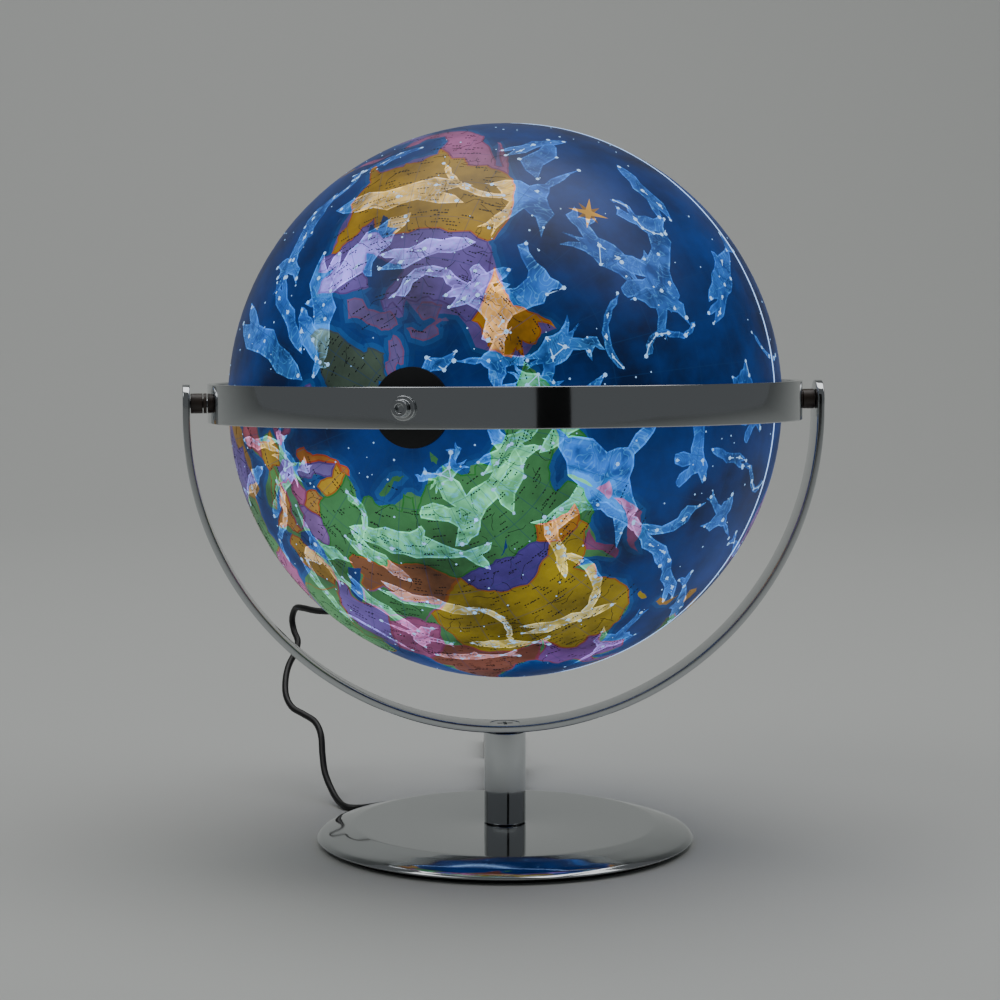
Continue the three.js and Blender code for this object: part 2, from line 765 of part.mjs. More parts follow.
add(lane, 'cord_hank', extruded(hankOutline(), hankBottom, hankBottom + hankHeight, 10), cordRubber);
add(lane, 'hank_tie', hankTie(), blackPlastic);
add(lane, 'cord_to_switch', cordTube([
  [-5.2, 172.2, 9], [-5, 177, 8.4], [-4.6, 182.5, 6.4], [-4.5, 187.7, 5.2],
], 7), cordRubber);

// Inline switch: two shells and a rocker that tips about the lane's X axis.
const switchWidth = 13;
const switchLength = 46;
const switchParting = 5.2;
const switchTop = 10.4;
const switchX = -4.5;
const switchY = 211;
const rockerWidth = 6;
const rockerLength = 12;
const rockerPivotHeight = 8;
const rockerThrow = 8; // degrees each way
const rockerWindow = 0.6;

const inlineSwitch = new THREE.Group();
inlineSwitch.position.set(switchX, switchY, 0);
lane.add(inlineSwitch);

function rockerPocket(low, high) {
  return new THREE.BoxGeometry(rockerWidth + 2 * gap, rockerLength + 2 * rockerWindow, high - low)
    .translate(0, 0, (low + high) / 2);
}

function rocker() {
  const y = rockerLength / 2;
  const shape = new THREE.Shape([
    new THREE.Vector2(-y + 0.5, -1.6), new THREE.Vector2(y - 0.5, -1.6), new THREE.Vector2(y, 2.8),
    new THREE.Vector2(y * 0.5, 2.3), new THREE.Vector2(0, 2.1), new THREE.Vector2(-y * 0.5, 2.3),
    new THREE.Vector2(-y, 2.8),
  ]);
  const body = extruded(shape, -rockerWidth / 2, rockerWidth / 2);
  return body.applyMatrix4(new THREE.Matrix4().makeBasis(new THREE.Vector3(0, 1, 0), zAxis, xAxis));
}

const lowerShell = roundedBox(switchWidth, switchLength, 4, 0.1, switchParting - gap);
add(inlineSwitch, 'switch_lower_shell', cut(lowerShell, rockerPocket(2.5, switchParting)), blackPlastic);
const upperShell = roundedBox(switchWidth, switchLength, 4, switchParting, switchTop);
add(inlineSwitch, 'switch_upper_shell', cut(upperShell, rockerPocket(0, switchTop + 1)), blackPlastic);
const rockerMesh = add(inlineSwitch, 'switch_rocker', rocker(), whitePlastic);
rockerMesh.position.z = rockerPivotHeight;
rockerMesh.rotation.x = rockerThrow * degrees;

add(lane, 'cord_to_plug', cordTube([
  [-4.5, 234.3, 5.2], [-4.5, 238, 4.6], [-4, 243, 2.8], [-0.8, 247.6, 1.7], [4, 248.2, 1.7],
  [7.9, 244.4, 1.7], [8.8, 237, 1.7], [8.8, 226, 1.7], [8.6, 212, 1.7], [8.2, 199, 2.4],
  [6.8, 189, 6], [4.4, 180.5, 11.6], [2.4, 173, 15.2], [1.5, 165.3, 15.9],
], 34), cordRubber);

// Plug: overmould, metal shell and the tongue inside it, lying on the hank.
const plugX = 1.5;
const plugHeight = 15.9;
const plugWidth = 15;
const plugThickness = 7.6;
const overmouldLength = 19;
const plugShellWidth = 12;
const plugShellThickness = 4.5;
const plugShellWall = 0.4;
const plugShellLength = 13;

function plugPiece(shapeWidth, shapeHeight, from, to) {
  return new THREE.BoxGeometry(shapeWidth, to - from, shapeHeight)
    .translate(plugX, (from + to) / 2, plugHeight);
}

const plugBack = 165;
const plugFront = plugBack - overmouldLength;
const shellBack = plugFront - gap;
const shellFront = shellBack - plugShellLength;
const overmould = roundedBox(plugWidth, plugThickness, 2, plugFront, plugBack)
  .rotateX(-Math.PI / 2).translate(plugX, 0, plugHeight);
add(lane, 'plug_overmould', overmould, blackPlastic);
add(lane, 'plug_shell', cut(
  plugPiece(plugShellWidth, plugShellThickness, shellFront, shellBack),
  plugPiece(plugShellWidth - 2 * plugShellWall, plugShellThickness - 2 * plugShellWall,
    shellFront - 1, shellBack - 0.8),
), contactMetal);
add(lane, 'plug_tongue', plugPiece(plugShellWidth - 2 * plugShellWall - 2 * gap, 1.5,
  shellFront + 1, shellBack - 0.8 - gap).translate(0, 0, 0.7), whitePlastic);

export default model;
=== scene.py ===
import math
import random

import bpy
import numpy as np
from mathutils import Matrix, Vector
from mathutils.geometry import delaunay_2d_cdt


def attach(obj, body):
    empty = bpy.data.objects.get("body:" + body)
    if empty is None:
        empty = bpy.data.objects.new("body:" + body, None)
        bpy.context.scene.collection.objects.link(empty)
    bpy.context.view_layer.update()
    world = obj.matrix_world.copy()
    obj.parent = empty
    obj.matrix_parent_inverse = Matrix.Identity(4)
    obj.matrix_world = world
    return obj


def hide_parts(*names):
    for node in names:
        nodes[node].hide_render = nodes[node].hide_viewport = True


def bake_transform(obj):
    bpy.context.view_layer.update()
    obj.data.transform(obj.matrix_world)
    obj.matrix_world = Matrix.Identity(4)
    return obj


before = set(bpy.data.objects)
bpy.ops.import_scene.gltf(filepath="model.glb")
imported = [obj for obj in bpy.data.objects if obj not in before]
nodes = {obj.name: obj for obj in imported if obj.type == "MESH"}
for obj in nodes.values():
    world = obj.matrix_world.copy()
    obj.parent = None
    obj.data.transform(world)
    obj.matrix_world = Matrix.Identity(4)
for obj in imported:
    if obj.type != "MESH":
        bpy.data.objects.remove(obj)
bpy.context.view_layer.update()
print("frame loaded")

mm = 0.001
globeCentre = Vector((0, 0, 203)) * mm
up = Vector((0, 0, 1))
tiltTurn = Matrix.Rotation(math.radians(-3.7), 3, "X")  # the ring at rest
poleAngle = math.radians(23.5)
north = tiltTurn @ Vector((-math.sin(poleAngle), -math.cos(poleAngle), 0))
mapUp = (up - north * north.z).normalized()  # towards longitude 100 west
mapSide = north.cross(mapUp)


# Linear RGBA from an sRGB hex colour.
def linear(colour):
    parts = [int(colour[i:i + 2], 16) / 255 for i in (1, 3, 5)]
    return [c / 12.92 if c <= 0.04045 else ((c + 0.055) / 1.055) ** 2.4 for c in parts] + [1]


# Adds a node. A setting is a property or an input's value, and a link is input: output.
def addNode(tree, kind, settings=None, links=None):
    made = tree.nodes.new(kind)
    for key, value in (settings or {}).items():
        if isinstance(key, str) and hasattr(made, key):
            setattr(made, key, value)
        else:
            made.inputs[key].default_value = value
    for key, output in (links or {}).items():
        tree.links.new(output, made.inputs[key])
    return made


# A material with its shader and output, ready for nodes that feed the shader.
def newMaterial(name, settings):
    made = bpy.data.materials.new(name)
    made.use_nodes = True
    made.node_tree.nodes.clear()
    shader = addNode(made.node_tree, "ShaderNodeBsdfPrincipled", settings)
    addNode(made.node_tree, "ShaderNodeOutputMaterial", links={"Surface": shader.outputs[0]})
    return made, made.node_tree, shader


def meshPiece(name, verts, faces, surface, body, slot, replaced=(), sharpAngle=35):
    mesh = bpy.data.meshes.new(name)
    mesh.from_pydata([tuple(v) for v in verts], [], faces)
    mesh.validate()
    mesh.materials.append(surface)
    mesh.shade_smooth()
    mesh.set_sharp_from_angle(angle=math.radians(sharpAngle))
    piece = bpy.data.objects.new(name, mesh)
    bpy.context.scene.collection.objects.link(piece)
    if body:
        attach(piece, body)
    if replaced:
        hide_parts(*replaced)
    return piece


# Rounds the corners of a profile that are off the axis, in the profile's own unit.
def rounded(profile, radius, steps=4):
    points = [Vector(p) for p in profile]
    closed = points[0] == points[-1]
    if closed:
        points.pop()
    smooth = []
    for i, here in enumerate(points):
        before, after = points[i - 1], points[(i + 1) % len(points)]
        atEnd = not closed and i in (0, len(points) - 1)
        if atEnd or here.x < 1e-6:
            smooth.append(here)
            continue
        reach = min(radius, 0.45 * (before - here).length, 0.45 * (after - here).length)
        start = here + (before - here).normalized() * reach
        end = here + (after - here).normalized() * reach
        for k in range(steps + 1):
            t = k / steps
            smooth.append(start * (1 - t) ** 2 + here * 2 * t * (1 - t) + end * t * t)
    if closed:
        smooth.append(smooth[0])
    return smooth


# A solid turned about an axis through a point: (radius, height) pairs in mm, outside going up.
def turnedMesh(profile, segments, direction=up, origin=Vector((0, 0, 0))):
    turn = up.rotation_difference(direction).to_matrix()
    points = list(profile)
    closed = (Vector(points[0]) - Vector(points[-1])).length < 1e-6
    if closed:
        points.pop()
    verts, rings = [], []
    for radius, height in points:
        if radius < 1e-6:
            rings.append([len(verts)])
            verts.append(origin + turn @ Vector((0, 0, height)) * mm)
            continue
        rings.append(list(range(len(verts), len(verts) + segments)))
        for i in range(segments):
            angle = 2 * math.pi * i / segments
            spot = Vector((radius * math.cos(angle), radius * math.sin(angle), height))
            verts.append(origin + turn @ spot * mm)
    faces = []
    for a, b in zip(rings, rings[1:] + rings[:1] if closed else rings[1:]):
        for i in range(segments):
            j = (i + 1) % segments
            corners = [a[i % len(a)], a[j % len(a)], b[j % len(b)], b[i % len(b)]]
            faces.append(list(dict.fromkeys(corners)))
    return verts, [f for f in faces if len(f) > 2]


# Cuts other meshes out of a piece's mesh before it rides on anything.
def cutMesh(verts, faces, tools):
    made = []
    for cutVerts, cutFaces in [(verts, faces)] + tools:
        mesh = bpy.data.meshes.new("blank")
        mesh.from_pydata([tuple(v) for v in cutVerts], [], cutFaces)
        blank = bpy.data.objects.new("blank", mesh)
        bpy.context.scene.collection.objects.link(blank)
        made.append(blank)
    for tool in made[1:]:
        cut = made[0].modifiers.new("cut", "BOOLEAN")
        cut.operation, cut.solver, cut.object = "DIFFERENCE", "EXACT", tool
    graph = bpy.context.evaluated_depsgraph_get()
    result = made[0].evaluated_get(graph).to_mesh()
    outVerts = [v.co.copy() for v in result.vertices]
    outFaces = [list(p.vertices) for p in result.polygons]
    for blank in made:
        bpy.data.objects.remove(blank)
    return outVerts, outFaces


def rod(radius, low, high, segments=48, direction=up, origin=Vector((0, 0, 0))):
    return turnedMesh([(0, low), (radius, low), (radius, high), (0, high)], segments, direction, origin)


# Camera

camera = bpy.data.objects.new("camera", bpy.data.cameras.new("camera"))
camera.location = (-0.1337, -1.3884, 0.323)
camera.rotation_euler = (math.radians(83.25), 0, math.radians(-5.407))
camera.data.lens = 111.4
camera.data.sensor_width = 36
camera.data.clip_start = 0.05
bpy.context.scene.collection.objects.link(camera)
bpy.context.scene.camera = camera

# Materials shared by several pieces


# Mirror plate: hardly any grain, with a faint wander in the polish so that reflections aren't perfect.
def chromePlate():
    made, tree, shader = newMaterial("chrome plate, polished", {
        "Base Color": linear("#c3c6c8"), "Metallic": 1.0, "Roughness": 0.07})
    spot = addNode(tree, "ShaderNodeTexCoord").outputs["Object"]
    wander = addNode(tree, "ShaderNodeTexNoise", {"Scale": 35.0, "Detail": 2.0}, {"Vector": spot})
    rough = addNode(tree, "ShaderNodeMapRange", {"To Min": 0.04, "To Max": 0.11},
                    {"Value": wander.outputs["Fac"]})
    tree.links.new(rough.outputs[0], shader.inputs["Roughness"])
    return made


# Plain turned or cast stock: one colour, its roughness varied at the grain's real size.
def grained(name, colour, roughness, metallic=0.0, grain=1.0, depth=0.02, **more):
    settings = {"Base Color": linear(colour), "Metallic": metallic, "Roughness": roughness}
    settings.update({key.replace("_", " "): value for key, value in more.items()})
    made, tree, shader = newMaterial(name, settings)
    spot = addNode(tree, "ShaderNodeTexCoord").outputs["Object"]
    noise = addNode(tree, "ShaderNodeTexNoise", {"Scale": 1 / (grain * mm), "Detail": 3.0},
                    {"Vector": spot})
    rough = addNode(tree, "ShaderNodeMapRange", {
        "To Min": max(roughness - 0.08, 0.02), "To Max": min(roughness + 0.08, 1.0)},
        {"Value": noise.outputs["Fac"]})
    bump = addNode(tree, "ShaderNodeBump", {"Strength": 0.3, "Distance": depth * mm},
                   {"Height": noise.outputs["Fac"]})
    tree.links.new(rough.outputs[0], shader.inputs["Roughness"])
    tree.links.new(bump.outputs[0], shader.inputs["Normal"])
    return made


chrome = chromePlate()
# dull silver with a soft, slightly cloudy shine
zincSteel = grained("steel, zinc plated", "#8d9092", 0.34, metallic=1.0, grain=0.8)
# near black, rough and grainy
castIron = grained("cast iron, blackened", "#2c2c2e", 0.72, grain=1.5, depth=0.15)
# flat black with fine pores
cellFoam = grained("closed-cell foam, cut sheet", "#1a1a1b", 0.9, grain=0.5, depth=0.1)
# dark brown with a low waxy shine
brownNylon = grained("nylon, turned brown", "#3b3029", 0.42, grain=1.2)
# black with a soft broken highlight
blackPlastic = grained("ABS, moulded black, fine spark texture", "#111214", 0.5, grain=0.4, depth=0.03)
# clean white with a smooth highlight
whitePlastic = grained("ABS, moulded white", "#dfe0df", 0.38, grain=0.6)
# black with a long soft highlight
cordPvc = grained("soft PVC, extruded black jacket", "#0b0b0c", 0.42, grain=2.0, depth=0.03)
# brighter and smoother than the zinc
nickelShell = grained("steel, stamped and nickel plated", "#b9bbbd", 0.22, metallic=1.0, grain=0.7)
# smooth dark green
boardMask = grained("glass-epoxy board, green solder mask", "#2a5b3c", 0.35, grain=0.9)
# milky white that glows
diffuserPlastic = grained("polypropylene, frosted", "#dfe9f3", 0.5, grain=0.8,
                          Emission_Color=linear("#cfe4ff"), Emission_Strength=1.2)
# pale line that glows brighter than the print
seamAcrylic = grained("acrylic, clear seam ring, edge lit", "#cfe3ff", 0.25, grain=0.8,
                      Emission_Color=linear("#9cc4ff"), Emission_Strength=1.6)
# faint blue glow behind the print
starFilm = grained("polyester film, printed", "#6fb0ff", 0.4, grain=1.0,
                   Emission_Color=linear("#2b7fd8"), Emission_Strength=0.5)
print("shared materials made")

# Cord: one tube from the back pole down to the table, a hank, the switch and the plug

laneTurn = Matrix.Rotation(math.radians(-5.5), 3, "Z")


# A point in the stored cord's own line: sideways, along it away from the base, and up.
def inLane(sideways, along, height):
    return laneTurn @ Vector((sideways, along, height)) * mm


cordRadius = 1.6
freeRoute = [
    (63.7, 146.15, 193.5), (66.9, 153.6, 193.1), (69.4, 161, 190.6), (69.6, 166.4, 184.6),
    (65.2, 168.6, 175.2), (56, 168.4, 162.5), (42, 166, 147), (25, 162.5, 131.5), (6, 159.5, 117.5),
    (-14, 158, 105.5), (-34, 157, 94), (-53, 152.5, 88.3), (-66, 150.5, 85.3), (-74, 152, 84.4),
    (-81, 156.5, 84.2), (-86.8, 163.5, 84.5), (-90.4, 171, 83.4), (-92.2, 175, 77.6), (-91.4, 173, 71.6),
    (-89.6, 167.6, 66.8), (-91.4, 161, 61.8), (-94.6, 153.4, 57.2), (-96.5, 145.6, 51.4),
    (-96.6, 137.2, 44.8), (-93.8, 129.6, 40), (-88.4, 124.6, 37.4), (-82.8, 119.2, 34.4),
    (-80.2, 112, 29.2), (-79.8, 104.4, 21), (-78.9, 97, 13.4), (-76, 88.4, 6.6), (-73, 79.4, 2.8),
    (-69.6, 71.8, 1.7), (-63.8, 69, 1.7), (-57.6, 71.4, 1.7), (-48.6, 77.2, 1.7), (-36.6, 83, 1.7),
    (-22.5, 87.6, 1.7), (-10.5, 90.4, 1.7), (-2.6, 93.4, 1.7)]
hank = {"nearFold": 106.4, "farFold": 161.6, "side": 8.6, "waist": 5.4, "tie": 134,
        "levels": (2.72, 5.92, 9.1), "entry": 98.6}
switchWay = [(-5.2, 172.2, 9.0), (-5, 177, 8.4), (-4.6, 182.5, 6.4), (-4.5, 187.7, 5.2),
             (-4.5, 199, 5.2), (-4.5, 211, 5.2), (-4.5, 223, 5.2), (-4.5, 234.3, 5.2)]
plugWay = [(-4.5, 238, 4.6), (-4, 243, 2.8), (-0.8, 247.2, 1.7), (4, 247.8, 1.7), (7.9, 244.2, 1.7),
           (8.8, 237, 1.7), (8.8, 226, 1.7), (8.6, 212, 1.7), (8.2, 199, 2.4), (6.8, 189, 6),
           (4.4, 180.5, 11.6), (2.4, 173, 15.2), (1.5, 165.3, 15.9)]


# Three loops laid one on another and squeezed under the tie, then a run out at the top.
def hankRoute():
    near, far, side = hank["nearFold"], hank["farFold"], hank["side"]
    low, middle, high = hank["levels"]

    def run(sign, height, start, end, count=12):
        for i in range(count + 1):
            along = start + (end - start) * i / count
            squeeze = math.exp(-((along - hank["tie"]) / 10) ** 2)
            reach = side + (hank["waist"] - side) * squeeze
            points.append(inLane(sign * reach, along, height))

    def fold(sign, along, outward, fromHeight, toHeight):
        for i in range(1, 12):
            angle = math.pi * i / 12
            height = fromHeight + (toHeight - fromHeight) * (1 - math.cos(angle)) / 2
            points.append(inLane(sign * side * math.cos(angle), along + outward * side * math.sin(angle),
                                 height))

    points = []
    run(-1, low, hank["entry"], far)
    fold(-1, far, 1, low, low)
    run(1, low, far, near)
    fold(1, near, -1, low, middle)
    run(-1, middle, near, far)
    fold(-1, far, 1, middle, middle)
    run(1, middle, far, near)
    fold(1, near, -1, middle, high)
    run(-1, high, near, far - 6)
    return points


# Evenly spaced points on a smooth curve through the given ones.
def smoothed(points, spacing):
    dense = []
    count = len(points)
    for i in range(count - 1):
        p0, p1, p2, p3 = (points[min(max(k, 0), count - 1)] for k in (i - 1, i, i + 1, i + 2))
        for k in range(10):
            t = k / 10
            dense.append(0.5 * (2 * p1 + (p2 - p0) * t + (2 * p0 - 5 * p1 + 4 * p2 - p3) * t * t
                                + (3 * p1 - p0 - 3 * p2 + p3) * t ** 3))
    dense.append(points[-1])
    steps = [(b - a).length for a, b in zip(dense, dense[1:])]
    reach = np.concatenate([[0], np.cumsum(steps)])
    wanted = np.linspace(0, reach[-1], int(reach[-1] / spacing) + 1)
    table = np.array([list(p) for p in dense])
    return [Vector([np.interp(w, reach, table[:, k]) for k in range(3)]) for w in wanted], reach[-1]


# A round tube with closed ends along a path.
def tubeMesh(path, radius, sides):
    verts, faces = [], []
    across = (path[1] - path[0]).orthogonal().normalized()
    for i, centre in enumerate(path):
        heading = (path[min(i + 1, len(path) - 1)] - path[max(i - 1, 0)]).normalized()
        across = (across - heading * across.dot(heading)).normalized()
        other = heading.cross(across)
        for k in range(sides):
            angle = 2 * math.pi * k / sides
            verts.append(centre + (across * math.cos(angle) + other * math.sin(angle)) * radius)
        if i:
            base = (i - 1) * sides
            for k in range(sides):
                j = (k + 1) % sides
                faces.append([base + k, base + j, base + sides + j, base + sides + k])
    faces.append(list(range(sides))[::-1])
    faces.append(list(range(len(verts) - sides, len(verts))))
    return verts, faces


cordPoints = [Vector(p) * mm for p in freeRoute] + hankRoute()
cordPoints += [inLane(*p) for p in switchWay + plugWay]
cordPath, cordLength = smoothed(cordPoints, 2 * mm)
cordVerts, cordFaces = tubeMesh(cordPath, cordRadius * mm, 14)
supplyCord = meshPiece("supply_cord", cordVerts, cordFaces, cordPvc, None, "cord_rubber",
                       ("cord_free", "cord_hank", "cord_to_switch", "cord_to_plug"))
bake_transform(supplyCord)
print(f"cord {cordLength:.3f} m")

# Globe: printed map on two shells

ocean = "#083780"
